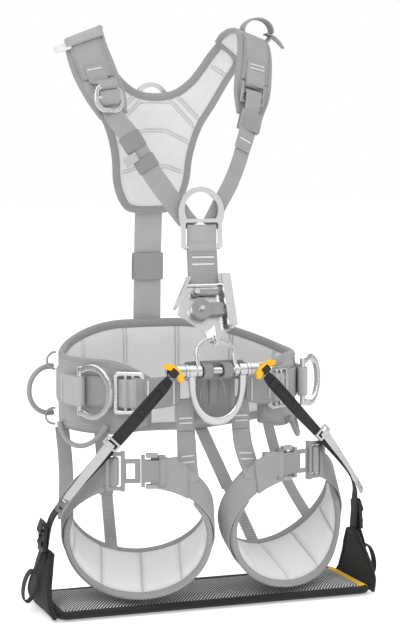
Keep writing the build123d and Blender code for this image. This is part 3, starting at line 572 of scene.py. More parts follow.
def belt_grid(rows_at, border, step):
    """Grid of the belt at given arc positions; columns run upwards with exact borders."""
    fine = np.linspace(-BELT_END, BELT_END, 1201)
    line = belt_point(fine, 0.0, 0.0)
    arc = np.concatenate([[0], np.cumsum(np.linalg.norm(np.diff(line, axis=0), axis=1))])
    angle = np.interp(rows_at * arc[-1], arc, fine)
    low, top = belt_limits(angle)
    ends = np.array([0.0, 0.8, 2.0, 3.4, 5.0, 7.0, border - 2.4, border - 1.0, border, border + 1.0, border + 2.6])
    count = int((np.max(top - low) - 2 * ends[-1]) / step)
    share = np.linspace(0, 1, count + 1)[1:-1]
    lower = low[:, None] + ends[None, :]
    upper = top[:, None] - ends[None, ::-1]
    inner = lower[:, -1:] + (upper[:, :1] - lower[:, -1:]) * share[None, :]
    height = np.concatenate([lower, inner, upper], 1)
    angle = np.repeat(angle[:, None], height.shape[1], 1)
    mid = belt_point(angle, 0.0, height)
    run = rows_at * arc[-1]
    uv = np.stack([np.repeat(run[:, None], height.shape[1], 1), height], -1)
    return mid, uv, angle, height, run, arc, fine


def belt():
    """The padded belt: outer shell, bound edges and quilted lumbar lining in one sewn piece."""
    seams = [-14.5, 14.5, -45.0, 45.0, -78.0, 78.0, -112.0, 112.0]
    fine = np.linspace(-BELT_END, BELT_END, 1201)
    arc = np.concatenate([[0], np.cumsum(np.linalg.norm(np.diff(belt_point(fine, 0.0, 0.0), axis=0), axis=1))])
    rows_at = ticks(arc[-1], 12.0, 4.0, [float(np.interp(at, fine, arc)) for at in seams]) / arc[-1]
    grid, uv, angle, height, run, arc, fine = belt_grid(rows_at, 12.0, 4.5)
    low, top = belt_limits(angle)
    from_edge = np.minimum(height - low, top - height)
    from_end = np.minimum(uv[..., 0], run[-1] - uv[..., 0])
    border = np.minimum(from_edge, from_end)
    fall = np.clip(border / 7.0, 0, 1)
    rounded = np.sqrt(1 - (1 - fall) ** 2)
    channel = np.zeros_like(height)
    apart = np.full_like(height, 99.0)
    for at in seams:
        distance = np.abs(uv[..., 0] - float(np.interp(at, fine, arc)))
        channel = np.maximum(channel, groove(distance - 2.6, 1.3))
        apart = np.minimum(apart, distance)
    inner_edge = groove(border - 12.0, 1.8)
    lined = np.clip((border - 12.0) / 22.0, 0, 1)
    puffy = 1 - (1 - lined) ** 2
    between = np.clip(np.abs(apart - 3) / 22.0, 0, 1)
    back = 2.2 + 2.6 * rounded + puffy * (2.2 + 3.0 * (1 - (1 - between) ** 2)) - 1.9 * inner_edge - 2.6 * channel * (lined > 0)
    cover = np.clip((26.0 - np.abs(height - 2.0)) / 5.0, 0, 1) * np.clip((108.0 - np.abs(angle)) / 4.0, 0, 1)
    out = 1.6 + 4.2 * rounded + 3.4 * cover ** 0.6
    out = out - 1.3 * groove(border - 10.0, 1.3) * (np.abs(angle) > 60)
    soft = np.array([[noise.noise(Vector((a * 0.05, h * 0.02, 3.0))) for a, h in zip(ra, rh)]
                     for ra, rh in zip(angle, height)])
    out = out + soft * 0.7 * rounded
    back = back + soft * 0.8 * rounded
    # Zone 3, the middle of each quilting channel, gets the darker copy of the lining cloth: painted shade in the sewn
    # grooves.
    zone_back = np.where(border < 11.5, 1, np.where((channel > 0.55) & (border > 12.5), 3, 2))
    zone_out = np.where(border < 4.5, 1, 0)
    firm_back = np.clip(np.maximum(channel, inner_edge) * 1.2 + (border < 13.0), 0, 1)
    firm_out = np.clip(0.6 + (border < 11.0), 0, 1)
    return shell("belt_shell", grid[::-1], out[::-1], np.maximum(back, 0.9)[::-1], uv[::-1],
                 [SHELL, TRIM, LINING, SHADED_LINING], "harness", zone_out[::-1], zone_back[::-1], zone_rim=1,
                 replaces=("belt_pad", "belt_liner"), sewn=(firm_out[::-1], firm_back[::-1]))


def belt_strap(name, first, last, offset, low, high, made, thickness=2.4, replaces=(), rows=90, side=-1,
               columns=13):
    """A level webbing round the belt between two angles."""
    angle = np.linspace(first, last, rows)[:, None]
    height = np.linspace(low, high, columns)[None, :]
    angle = np.repeat(angle, columns, 1)
    height = np.repeat(height, rows, 0)
    mid = belt_point(angle, offset, height)
    run = np.concatenate([[0], np.cumsum(np.linalg.norm(np.diff(mid[:, 0], axis=0), axis=1))])
    uv = np.stack([np.repeat(run[:, None], columns, 1), height], -1)
    edge = np.abs(np.linspace(-1, 1, columns))
    half = thickness / 2 * (1 - 0.3 * edge ** 8)
    half = np.repeat(half[None, :], rows, 0)
    return shell(name, mid[::-1], half[::-1], half[::-1], uv[::-1], [made], "harness", replaces=replaces, side=side)


def padded(made, fill, cap=2.5, pressure=4.0):
    swell(made, pressure, cap)


padded(belt(), 0.55, cap=1.8)
for side, name in ((-1, "left"), (1, "right")):
    belt_strap(f"belt_webbing_{name}", -135, -104, 8.0, -20, 24, WEBBING, replaces=("belt_webbing",) if side < 0 else (),
               side=side, rows=40)


# ------------------------------------------------------------------ plates with any outline
def plate(name, outline, spacing, height_out, height_back, place, materials, body, zone_out=None, zone_back=None,
          zone_rim=0, replaces=(), smooth=6, side=-1, sewn=None, rings=(), lines=()):
    """A flat padded piece of any outline; the heights are functions of the points and their depth inside."""
    edge = smooth_line(np.array(list(outline) + [outline[0]], dtype=float), smooth)[:-1]
    run = np.concatenate([[0], np.cumsum(np.linalg.norm(np.diff(np.vstack([edge, edge[:1]]), axis=0), axis=1))])
    count = int(run[-1] / spacing)
    at = np.linspace(0, run[-1], count, endpoint=False)
    closed = np.vstack([edge, edge[:1]])
    edge = np.stack([np.interp(at, run, closed[:, k]) for k in range(2)], -1)
    nxt = np.roll(edge, -1, 0)

    def depth_of(points):
        """Distance of each point from the outline."""
        best = np.full(len(points), 1e9)
        for a, b in zip(edge, nxt):
            step = b - a
            t = np.clip(((points - a) @ step) / (step @ step), 0, 1)
            best = np.minimum(best, np.linalg.norm(points - (a + t[:, None] * step), axis=1))
        return best

    low, high = edge.min(0), edge.max(0)
    xs = np.arange(low[0] + spacing / 2, high[0], spacing)
    ys = np.arange(low[1] + spacing / 2, high[1], spacing * 0.866)
    inner = np.array([(x + (0.25 if k % 2 else -0.25) * spacing, y) for k, y in enumerate(ys) for x in xs])
    inside = np.zeros(len(inner), bool)
    for a, b in zip(edge, nxt):
        crosses = (a[1] > inner[:, 1]) != (b[1] > inner[:, 1])
        with np.errstate(divide="ignore", invalid="ignore"):
            meet = (b[0] - a[0]) * (inner[:, 1] - a[1]) / (b[1] - a[1]) + a[0]
        inside ^= crosses & (inner[:, 0] < meet)
    inner = inner[inside]
    depth = depth_of(inner)
    keep = depth > spacing * 0.55
    for level in rings:
        keep &= np.abs(depth - level) > spacing * 0.45
    for line in lines:
        keep &= np.abs(line_distance(inner, [line])) > 3.9
    inner = inner[keep]
    turn = np.sign(sum(a[0] * b[1] - a[1] * b[0] for a, b in zip(edge, nxt)))
    tangent = unit(np.roll(edge, -1, 0) - np.roll(edge, 1, 0))
    outward = np.stack([tangent[:, 1], -tangent[:, 0]], -1) * turn
    extra = []
    for level in rings:
        found = edge - outward * level
        good = np.abs(depth_of(found) - level) < 0.25
        extra.append(found[good])
    for line in lines:
        for a, b in zip(line[:-1], line[1:]):
            a, b = np.array(a, float), np.array(b, float)
            step = unit(b - a)
            normal = np.array([-step[1], step[0]])
            steps = np.arange(1.5, np.linalg.norm(b - a), 3.0)
            for shift in (-3.4, -2.0, -0.7, 0.7, 2.0, 3.4):
                row = a + steps[:, None] * step + normal * shift
                extra.append(row)
    if extra:
        extra = np.vstack(extra)
        good = depth_of(extra) > (max(rings) + 1.2 if rings and lines else 0.5)
        on_ring = np.zeros(len(extra), bool)
        for level in rings:
            on_ring |= np.abs(depth_of(extra) - level) < 0.3
        extra = extra[good | on_ring]
        inside = np.zeros(len(extra), bool)
        for a, b in zip(edge, nxt):
            crosses = (a[1] > extra[:, 1]) != (b[1] > extra[:, 1])
            with np.errstate(divide="ignore", invalid="ignore"):
                meet = (b[0] - a[0]) * (extra[:, 1] - a[1]) / (b[1] - a[1]) + a[0]
            inside ^= crosses & (extra[:, 0] < meet)
        inner = np.vstack([inner, extra[inside]])
    flat = np.vstack([edge, inner])
    found = delaunay_2d_cdt([Vector(p) for p in flat], [], [list(range(len(edge)))], 1, 1e-5)
    flat = np.array([tuple(p) for p in found[0]])
    triangles = [tuple(t) for t in found[2]]
    depth = depth_of(flat)
    centre_of = np.array([flat[list(t)].mean(0) for t in triangles])
    face_depth = depth_of(centre_of)
    up = height_out(flat, depth)
    down = height_back(flat, depth)
    top = np.array([place(x, y, h) for (x, y), h in zip(flat, up)])
    low_face = np.array([place(x, y, -h) for (x, y), h in zip(flat, down)])
    total = len(flat)
    ring = len(edge)
    half = (up[:ring] + down[:ring]) / 2
    rim_points = np.array([place(x, y, h) for (x, y), h in zip(edge + outward * half[:, None] * 0.7, (up - down)[:ring] / 2)])
    points = np.concatenate([top, low_face, rim_points])
    coords = np.concatenate([flat, flat, edge])
    if side > 0:
        points = points * np.array([-1.0, 1.0, 1.0])
    faces, zones = [], []
    for k, t in enumerate(triangles):
        a, b, c = flat[t[0]], flat[t[1]], flat[t[2]]
        if (b[0] - a[0]) * (c[1] - a[1]) - (b[1] - a[1]) * (c[0] - a[0]) < 0:
            t = t[::-1]
        faces.append(t)
        zones.append(int(zone_out(centre_of[k], face_depth[k])) if zone_out else 0)
        faces.append(tuple(total + v for v in t[::-1]))
        zones.append(int(zone_back(centre_of[k], face_depth[k])) if zone_back else 0)
    for k in range(ring):
        n = (k + 1) % ring
        first, second = (k, n) if turn > 0 else (n, k)
        faces.append((second, first, 2 * total + first, 2 * total + second))
        faces.append((2 * total + second, 2 * total + first, total + first, total + second))
        zones += [zone_rim, zone_rim]
    if side > 0:
        faces = [f[::-1] for f in faces]
    made = make_object(name, points, faces, zones, coords, materials, body, replaces)
    if sewn is not None:
        held = sewn(flat, depth)
        hold(made, np.concatenate([held[0], held[1], np.ones(ring)]))
    return made


def line_distance(flat, runs):
    """Distance of each flat point from a set of broken lines."""
    best = np.full(len(flat), 1e9)
    for run in runs:
        for a, b in zip(run[:-1], run[1:]):
            a, b = np.array(a, float), np.array(b, float)
            step = b - a
            t = np.clip(((flat - a) @ step) / (step @ step), 0, 1)
            best = np.minimum(best, np.linalg.norm(flat - (a + t[:, None] * step), axis=1))
    return best


# ------------------------------------------------------------------ yoke
YOKE_LEAN = math.radians(8.0)


def yoke_place(x, s, out):
    """A point on the yoke: across, up its slope, and out towards the wearer."""
    bend = max(0.0, s - 200.0) ** 2 * 0.0009 + (x / 140.0) ** 2 * 3.0
    y = 145.0 - s * math.sin(YOKE_LEAN) - out * math.cos(YOKE_LEAN) - bend
    z = 254.0 + s * math.cos(YOKE_LEAN) - out * math.sin(YOKE_LEAN)
    return (x, y, z)


YOKE_RIGHT = [(26, 0), (42, 6), (54, 24), (62, 50), (66, 90), (78, 132), (99, 168), (119, 204), (138, 238), (133, 264),
              (108, 275), (86, 252), (70, 228), (54, 208), (30, 191)]
YOKE_OUTLINE = YOKE_RIGHT + [(0, 186)] + [(-x, y) for x, y in reversed(YOKE_RIGHT)] + [(0, -1)]
YOKE_SEAMS = []
for turn in (-1, 1):
    YOKE_SEAMS += [
        [(0, 74), (turn * 22, 73), (turn * 62, 60)],
        [(0, 130), (turn * 19, 129), (turn * 72, 104)],
        [(0, 175), (turn * 26, 174), (turn * 62, 138)],
        [(turn * 34, 184), (turn * 84, 136)],
        [(turn * 76, 238), (turn * 118, 214)],
    ]


def yoke():
    """The back yoke: bound edge, quilted lining towards the wearer and a plain shell behind."""
    def face(flat, depth):
        seam = np.abs(line_distance(flat, YOKE_SEAMS) - 2.0)
        rim = np.sqrt(1 - (1 - np.clip(depth / 5.0, 0, 1)) ** 2)
        lined = np.clip((depth - 11.0) / 15.0, 0, 1)
        apart = np.clip(line_distance(flat, YOKE_SEAMS) / 16.0, 0, 1)
        puff = 1 - (1 - lined) ** 2
        height = 1.5 + 2.8 * rim + puff * (1.6 + 2.6 * (1 - (1 - apart) ** 2))
        height = height - 1.8 * groove(depth - 11.0, 1.7) - 1.1 * groove(seam, 1.6) * (lined > 0)
        soft = np.array([noise.noise(Vector((x * 0.03, y * 0.03, 7.0))) for x, y in flat])
        return np.maximum(height + soft * 0.8 * puff, 0.8)

    def rear(flat, depth):
        rim = np.sqrt(1 - (1 - np.clip(depth / 6.0, 0, 1)) ** 2)
        soft = np.array([noise.noise(Vector((x * 0.03, y * 0.03, 1.0))) for x, y in flat])
        return 1.5 + 3.2 * rim - 1.0 * groove(depth - 9.0, 1.4) + soft * 0.4 * rim

    def firm(flat, depth):
        seam = np.clip(groove(np.abs(line_distance(flat, YOKE_SEAMS) - 2.0), 2.0) * 1.3 + (depth < 12.0), 0, 1)
        return seam, np.clip(0.5 + (depth < 10.0), 0, 1)

    def lining(point, depth):
        if depth < 11.0:
            return 0
        # Seam lines inside the lining get the darker copy of the lining cloth (zone 3): painted shade in the quilting
        # grooves.
        return 3 if abs(line_distance(np.array([point]), YOKE_SEAMS)[0] - 2.0) < 1.0 and depth > 12.0 else 1

    return plate("yoke_pad", YOKE_OUTLINE, 3.0, face, rear, yoke_place, [TRIM, LINING, SHELL, SHADED_LINING], "harness",
                 zone_out=lining, zone_back=lambda p, d: 0 if d < 5.0 else 2, replaces=("back_pad", "back_liner"), sewn=firm,
                 rings=(2.0, 5.0, 9.6, 11.0, 12.4), lines=YOKE_SEAMS)


padded(yoke(), 0.5)


# ------------------------------------------------------------------ back strap
def back_strap():
    """The dorsal webbing and the keeper round it, front and rear."""
    across = (1, 0, 0)
    stations = [((0, 163.0, -30), across, 44), ((0, 163.0, 60), across, 44), ((0, 161.0, 130), across, 44),
                ((0, 157.0, 200), across, 44), ((0, 152.0, 256), across, 44), ((0, 145.0, 306), across, 44)]
    strap("back_webbing", stations, 2.6, PALE_WEBBING, "harness", ("back_strap",), steps=16, side=-1)
    loop = [((0, 154.0, 147), across, 47), ((0, 153.3, 158), across, 47.5), ((0, 152.6, 172), across, 47.5),
            ((0, 152.0, 189), across, 47)]
    strap("back_keeper", loop, 2.2, WEBBING, "harness", ("strap_keepers",), steps=10)
    rear = [((0, 166.5, 147), across, 47), ((0, 165.7, 168), across, 47.5), ((0, 164.2, 189), across, 47)]
    strap("back_keeper_rear", rear, 2.2, WEBBING, "harness", steps=10)


back_strap()


# ------------------------------------------------------------------ belt hardware webbing
def turned(points, origin, angle):
    """Flat points (x, y, z) turned about the upright axis and set at an origin."""
    c, s = math.cos(math.radians(angle)), math.sin(math.radians(angle))
    return [(origin[0] + x * c - y * s, origin[1] + x * s + y * c, origin[2] + z) for x, y, z in points]


def belt_fittings(side, name):
    """The webbing round the belt buckle, the side ring and the front of the belt, for one side."""
    buckle = tuple(belt_point(-143.0, 14.0, 2.0))
    upright = (0, 0, 1)
    path = [(-27, 9, 0), (-19, 5.0, 0), (-11, -1.5, 0), (-5.5, -4.9, 0), (0, -1.5, 0), (5.5, -4.9, 0), (10.5, -2.4, 0),
            (16, 2.5, 0), (24, 3.4, 0)]
    threaded = [(p, upright, 40) for p in turned(path, buckle, -31)]
    strap(f"buckle_webbing_{name}", threaded, 2.2, PALE_WEBBING, "harness", side=side, steps=6, wrinkle=0.15)
    front = [((-112, -117.5, 2), upright, 44), ((-86, -131.0, 3), upright, 44), ((-66, -141.5, 6), upright, 43),
             ((-50, -144.5, 9), upright, 42)]
    strap(f"front_webbing_{name}", front, 2.6, WEBBING, "harness", ("front_straps",), side=side, steps=10)
    over = [((-97, -129.6, 3), upright, 41), ((-84, -135.6, 4), upright, 41), ((-66, -145.0, 6), upright, 40),
            ((-51, -148.3, 9), upright, 34)]
    strap(f"front_fold_{name}", over, 2.4, WEBBING, "harness", side=side, steps=8, wrinkle=0.4)
    tacks = []
    for x, y in ((-93, -133.4), (-59.5, -148.5)):
        tacks.append(((x, y, 5), (0, 0, 1), (-0.45, -0.9, 0), 34, 2.6))
    bars(f"front_tacks_{name}", tacks, THREAD, "harness", side)
    centre = belt_point(-117.5, 19.5, 2.0)
    rad = math.radians(-117.5)
    out = np.array([math.sin(rad), math.cos(rad), 0.0])
    back = np.array([math.cos(rad), -math.sin(rad), 0.0])
    loop = [belt_point(-98, 11.6, 2.0), belt_point(-103, 13.4, 2.0), centre + back * 11 + out * 3.2, centre + back * 3 + out * 6.2]
    for turn in (60, 120, 180, 240, 300):
        t = math.radians(turn)
        loop.append(centre + out * 6.3 * math.cos(t) - back * 6.3 * math.sin(t))
    loop += [centre + back * 9 - out * 6.8, belt_point(-107, 10.3, 2.0), belt_point(-99, 9.9, 2.0)]
    strap(f"ring_pocket_{name}", [(tuple(p), upright, 42) for p in loop], 2.4, PALE_WEBBING, "harness",
          ("side_ring_mounts",), side=side, steps=6, wrinkle=0.15)
    places = []
    for at in (-100, -108):
        spot = belt_point(at, 14.4, 2.0)
        turn = math.radians(at)
        places.append((tuple(spot), (0, 0, 1), (math.sin(turn), math.cos(turn), 0), 36, 2.4))
    bars(f"pocket_tacks_{name}", places, THREAD, "harness", side)


for side, name in ((-1, "left"), (1, "right")):
    belt_fittings(side, name)


# ------------------------------------------------------------------ ventral panel and pin sleeves
def ventral_front():
    """The padded panel behind the ring, its stitched arcs, the sleeves on the pin and the two leg tabs."""
    def face(flat, depth):
        rim = np.sqrt(1 - (1 - np.clip(depth / 4.0, 0, 1)) ** 2)
        puff = 1 - (1 - np.clip((depth - 6) / 14.0, 0, 1)) ** 2
        return 0.9 + 1.6 * rim + 1.2 * puff - 1.2 * groove(depth - 6.0, 1.1)

    def rear(flat, depth):
        return 0.9 + 1.6 * np.sqrt(1 - (1 - np.clip(depth / 4.0, 0, 1)) ** 2)

    outline = [(-34, -38), (-30, -42), (0, -42), (30, -42), (34, -38), (34, 0), (34, 30), (30, 34), (0, 34), (-30, 34),
               (-34, 30), (-34, 0)]
    made = plate("ventral_pad", outline, 2.2, face, rear, lambda x, z, h: (x, -143.5 - h, z), [DARK_WEBBING, TRIM],
                 "harness", zone_out=lambda p, d: 0 if d > 6 else 1, zone_rim=1,
                 replaces=("ventral_panel",), smooth=3, sewn=lambda f, d: (np.clip(1.0 * (d < 7), 0, 1), np.ones(len(f))))
    padded(made, 0.5, cap=1.4)
    for turn in (-1, 1):
        arc = [(turn * (7 + 13 * math.sin(t)), -148.1 + 0.5 * abs(math.cos(t)), 24 - 46 * (1 - math.cos(t)) / 1.3)
               for t in np.linspace(0.15, 1.45, 24)]
        stitches(f"panel_arc_{'left' if turn < 0 else 'right'}", arc, [(0, -1, 0)] * 24, THREAD, "harness",
                 stitch=2.6, gap=0.8, radius=0.5)
    cover = [((-43.6, -152.0, 35.5), (0, 0, 1), 26), ((-30, -152.3, 35.5), (0, 0, 1), 27), ((0, -152.4, 35.5), (0, 0, 1), 27),
             ((30, -152.3, 35.5), (0, 0, 1), 27), ((43.6, -152.0, 35.5), (0, 0, 1), 26)]
    strap("bracket_cover", cover, 1.8, DARK_WEBBING, "harness", steps=8, wrinkle=0.5)
    centre = [((0, -147.4, 45), (1, 0, 0), 12), ((0, -149.6, 20), (1, 0, 0), 12), ((0, -149.3, -4), (1, 0, 0), 12),
              ((0, -147.6, -16), (1, 0, 0), 12)]
    strap("panel_strip", centre, 1.8, DARK_WEBBING, "harness", steps=8)
    for side, name in ((-1, "left"), (1, "right")):
        loop = [((-15, -147.2, 27), (1, 0, 0), 13.4), ((-15, -155, 25.6), (1, 0, 0), 13.4)]
        for turn in range(0, 181, 30):
            t = math.radians(turn + 270)
            loop.append(((-15, -165 + 8.6 * math.cos(math.radians(turn - 90)) * -1, 36 + 8.6 * math.sin(math.radians(turn - 90))),
                         (1, 0, 0), 13.4))
        loop += [((-15, -155, 45.6), (1, 0, 0), 13.4), ((-15, -147.4, 43.6), (1, 0, 0), 13.4)]
        strap(f"pin_sleeve_{name}", loop, 2.6, DARK_WEBBING, "harness", ("pin_sleeves",) if side < 0 else (),
              side=side, steps=6, ribs=0.35, rib_period=2.2, wrinkle=0.0)
        tab = [((-42, -143.0, -6), (1, 0, 0), 26), ((-42, -147.5, -30), (1, 0, 0), 26), ((-42, -149.6, -50), (1, 0, 0), 26)]
        strap(f"leg_tab_{name}", tab, 3.6, WEBBING, "harness", side=side, steps=8)
        bars(f"leg_tab_tacks_{name}", [((-42, -149.6, -32), (1, 0, 0), (0, -1, 0.15), 20, 2.2),
                                       ((-42, -150.9, -39), (1, 0, 0), (0, -1, 0.15), 20, 2.2)], THREAD, "harness",
             side)


ventral_front()


# ------------------------------------------------------------------ shoulders
LEFT_SHOULDER = [
    ((-116, 101, 500), (0.74, 0, 0.66), 60), ((-122, 84, 513), (0.82, 0, 0.55), 58),
    ((-130, 56, 521), (0.9, -0.1, 0.42), 58), ((-140, 28, 517), (0.92, -0.2, 0.33), 58),
    ((-141, 6, 494), (0.93, -0.22, 0.28), 60), ((-135, -14, 462), (0.95, -0.22, 0.2), 62),
    ((-125, -32, 428), (0.97, -0.2, 0.15), 58), ((-116, -44, 398), (0.97, -0.2, 0.25), 40),
]
RIGHT_SHOULDER = [
    ((116, 101, 500), (0.74, 0, -0.66), 60), ((120, 84, 514), (0.82, 0, -0.55), 58),
    ((124, 56, 523), (0.9, 0.1, -0.4), 58), ((126, 28, 520), (0.92, 0.15, -0.3), 58),
    ((122, 6, 498), (0.93, 0.15, -0.25), 60), ((113, -14, 466), (0.95, 0.12, -0.22), 62),
    ((103, -32, 432), (0.96, 0.08, -0.2), 59), ((95, -43, 400), (0.96, 0.08, -0.22), 42),
]


def cushion(name, stations, body, seams, replaces=(), side=-1, steps=10, columns=33, thick=(4.4, 4.6), spacing=None,
            border=9.0, fill=0.55, cap=2.0, materials=None, extra=None):
    """A padded band: bound edges, a plain shell outside and a quilted lining inside."""
    base, _, run, width = strap_grid(stations, steps, 2)
    total = run[-1]
    at = ticks(total, border, 4.0, [share * total for share in seams])
    sides = [np.stack([np.interp(at, run, base[:, j, k]) for k in range(3)], -1) for j in (0, 1)]
    width = np.interp(at, run, width)
    run = at
    ends = np.array([0.0, 0.8, 2.0, 3.4, 5.0, border - 2.4, border - 1.0, border, border + 1.0, border + 2.6])
    count = max(3, int((width.max() - 2 * ends[-1]) / 4.0))
    share = np.linspace(0, 1, count + 1)[1:-1]
    squeeze = np.minimum(1.0, (width / 2 - 1.5) / ends[-1])[:, None]
    lower = ends[None, :] * squeeze
    upper = width[:, None] - ends[None, ::-1] * squeeze
    place = np.concatenate([lower, lower[:, -1:] + (upper[:, :1] - lower[:, -1:]) * share[None, :], upper], 1)
    part = place / width[:, None]
    grid = sides[0][:, None, :] * (1 - part[..., None]) + sides[1][:, None, :] * part[..., None]
    rows, columns = part.shape
    uv = np.stack([np.repeat(run[:, None], columns, 1), place - width[:, None] / 2], -1)
    from_side = np.minimum(place, width[:, None] - place)
    from_end = np.minimum(run, run[-1] - run)[:, None] * np.ones(columns)[None, :]
    inside = np.minimum(from_side, from_end)
    rim = np.sqrt(1 - (1 - np.clip(inside / 5.0, 0, 1)) ** 2)
    channel = np.zeros((rows, columns))
    apart = np.full((rows, columns), 60.0)
    for at in seams:
        distance = np.abs(run / run[-1] - at)[:, None] * run[-1] * np.ones(columns)[None, :]
        channel = np.maximum(channel, groove(distance, 3.0))
        apart = np.minimum(apart, distance)
    edge_line = groove(inside - border, 1.5)
    lined = np.clip((inside - border) / 14.0, 0, 1)
    puff = 1 - (1 - lined) ** 2
    between = 1 - (1 - np.clip(apart / 16.0, 0, 1)) ** 2
    soft = np.array([[noise.noise(Vector(grid[i, j] * 0.025)) for j in range(columns)] for i in range(rows)])
    out = 1.3 + (thick[0] - 1.3) * rim + soft * 0.6 * rim - 1.0 * groove(inside - border + 1.0, 1.3)
    back = 1.3 + (thick[1] - 2.4) * rim + puff * (0.8 + 4.0 * between) - 1.6 * edge_line - 2.6 * channel * (lined > 0)
    back = np.maximum(back + soft * 0.6 * puff, 0.7)
    zone_out = np.where(inside < 4.0, 1, 0)
    # Zone 3 along each seam gets the darker copy of the lining cloth: painted shade in the quilting channels.
    zone_back = np.where(inside < border - 0.5, 1, np.where((apart < 1.0) & (inside > border + 0.5), 3, 2))
    firm_back = np.clip(np.maximum(channel, edge_line) * 1.3 + (inside < border + 1), 0, 1)
    firm_out = np.clip(0.55 + (inside < border), 0, 1)
    made = shell(name, grid, out, back, uv, materials or [SHELL, TRIM, LINING, SHADED_LINING], body, zone_out, zone_back, zone_rim=1,
                 replaces=replaces, side=side, sewn=(firm_out, firm_back))
    padded(made, fill, cap)
    return made, grid, out


def offset_stations(stations, first, last, out, widths):
    """Stations of a strap lying on a cushion between two of its stations."""
    table = smooth_line(np.array([list(c) + list(d) for c, d, _ in stations]), 6)
    spine = table[:, :3]
    across = unit(table[:, 3:6])
    normal = unit(np.cross(unit(np.gradient(spine, axis=0)), across))
    keep = range(int(first * 6), int(last * 6) + 1)
    total = len(keep) - 1
    made = []
    for k, i in enumerate(keep):
        wide = np.interp(k / total, np.linspace(0, 1, len(widths)), widths)
        made.append((tuple(spine[i] + normal[i] * out), tuple(across[i]), float(wide)))
    return made


def shoulders():
    """Both shoulder pads with their webbing, the rolled loop and the open loop."""
    cushion("shoulder_pad_left", LEFT_SHOULDER, "harness", (0.3, 0.58, 0.8), replaces=("shoulder_pads",))
    cushion("shoulder_pad_right", RIGHT_SHOULDER, "harness", (0.3, 0.58, 0.8))
    panel = offset_stations(LEFT_SHOULDER, 3.5, 5.35, 6.4, (46, 46, 45))
    strap("shoulder_panel_left", panel, 2.4, WEBBING, "harness", steps=4, wrinkle=0.5)
    lead = offset_stations(LEFT_SHOULDER, 4.9, 5.6, 8.6, (27, 27, 27))
    lead += [((-127, -46, 447), (0.97, -0.2, 0.2), 27), ((-124.6, -50.2, 442.5), (0.98, -0.15, 0.15), 27),
             ((-125, -46.5, 436.5), (0.98, -0.15, 0.15), 27), ((-126.5, -39.5, 441), (0.97, -0.2, 0.2), 27),
             ((-129, -35, 450), (0.97, -0.2, 0.2), 27)]
    strap("shoulder_lead_left", lead, 2.4, WEBBING, "harness", steps=5, wrinkle=0.3)
    fold = [((-124.6, -44.2, 434), (0.98, -0.15, 0.15), 28), ((-124, -50.5, 433.6), (0.98, -0.15, 0.15), 29),
            ((-124, -54.2, 427), (0.98, -0.15, 0.15), 29), ((-123.8, -55.4, 419), (0.98, -0.15, 0.15), 29),
            ((-123.6, -51.5, 414), (0.98, -0.15, 0.15), 28)]
    strap("ring_fold_left", fold, 2.2, WEBBING, "harness", steps=6, wrinkle=0.3)
    panel = offset_stations(RIGHT_SHOULDER, 3.3, 5.5, 6.4, (40, 44, 44, 44))
    strap("shoulder_panel_right", panel, 2.4, WEBBING, "harness", steps=4, wrinkle=0.5)
    lead = offset_stations(RIGHT_SHOULDER, 4.7, 5.3, 8.6, (31, 31, 31))
    lead += [((106.5, -38.5, 452), (0.96, 0.1, -0.2), 31), ((104.4, -42.6, 447.5), (0.96, 0.1, -0.2), 30),
             ((103.8, -38.8, 442), (0.96, 0.1, -0.2), 30), ((105, -33.5, 447), (0.96, 0.1, -0.2), 31)]
    strap("shoulder_lead_right", lead, 2.4, WEBBING, "harness", steps=5, wrinkle=0.3)
    tacks = []
    for pad, at, wide in ((LEFT_SHOULDER, 5.02, 22), (RIGHT_SHOULDER, 4.85, 25), (RIGHT_SHOULDER, 5.15, 25)):
        spot, across, _ = offset_stations(pad, at, at + 0.34, 10.3, (30, 30))[0]
        tacks.append((spot, across, (0, -0.85, 0.45), wide, 2.4))
    bars("shoulder_tacks", tacks, THREAD, "harness")
    for name, pad in (("left", LEFT_SHOULDER), ("right", RIGHT_SHOULDER)):
        rows = offset_stations(pad, 3.4, 5.6, 7.9, (41, 41))
        for edge in (-1, 1):
            line = [np.array(c) + unit(np.array(d)) * edge * 20.6 for c, d, _ in rows[1:-1]]
            stitches(f"panel_stitch_{name}_{'in' if edge > 0 else 'out'}", line, [(0, -0.8, 0.6)] * len(line), GREY_THREAD,
                     "harness", stitch=2.8, gap=1.0, radius=0.35)
    axis = Vector((0.92, -0.2, 0.33)).normalized()
    normal = Vector((-0.37, -0.65, 0.65)).normalized()
    upward = normal.cross(axis).normalized()
    origin = Vector((-144.5, 9.4, 513))
    roll = []
    for k in range(19):
        turn = math.radians(k * 30)
        shrink = 1.0 - 0.035 * k
        spot = origin + upward * (8.6 * shrink * math.cos(turn)) + normal * (4.6 * shrink * math.sin(turn))
        roll.append((tuple(spot), tuple(axis), 57 - 0.4 * k))
    strap("shoulder_roll", roll, 1.9, SHELL, "harness", ("shoulder_loops",), steps=3, wrinkle=0.5)
    tab_mid = origin - axis * 35 - upward * 4 - normal
    tab = [(tuple(tab_mid + axis * v), tuple(upward), 15 - abs(v) * 0.1) for v in (12, 5, -4, -12)]
    strap("roll_tab", tab, 3.0, LINING, "harness", steps=5, wrinkle=0.6)
    arch = []
    for k in range(25):
        turn = math.radians(-25 - k * 14.2)
        arch.append(((137 + 23.8 * math.cos(turn), 36, 531 + 19.8 * math.sin(turn)), (0, 1, 0), 20))
    strap("shoulder_arch", arch, 3.2, WEBBING, "harness", steps=4, wrinkle=0.5)
    tail = [((152, 36, 528), (0, 1, 0), 19), ((163, 36, 524), (0, 1, 0), 18), ((172, 36, 517), (0, 1, 0), 15),
            ((181, 36, 507), (0, 1, 0), 8)]
    strap("arch_tail", tail, 3.0, WEBBING, "harness", steps=6, wrinkle=0.4)


shoulders()


# ------------------------------------------------------------------ chest
def chest_direction(points):
    """Width direction of a chest strap."""
    start, end = Vector(points[0]), Vector(points[-1])
    return (end - start).cross(Vector((0, -1, -0.3))).normalized()


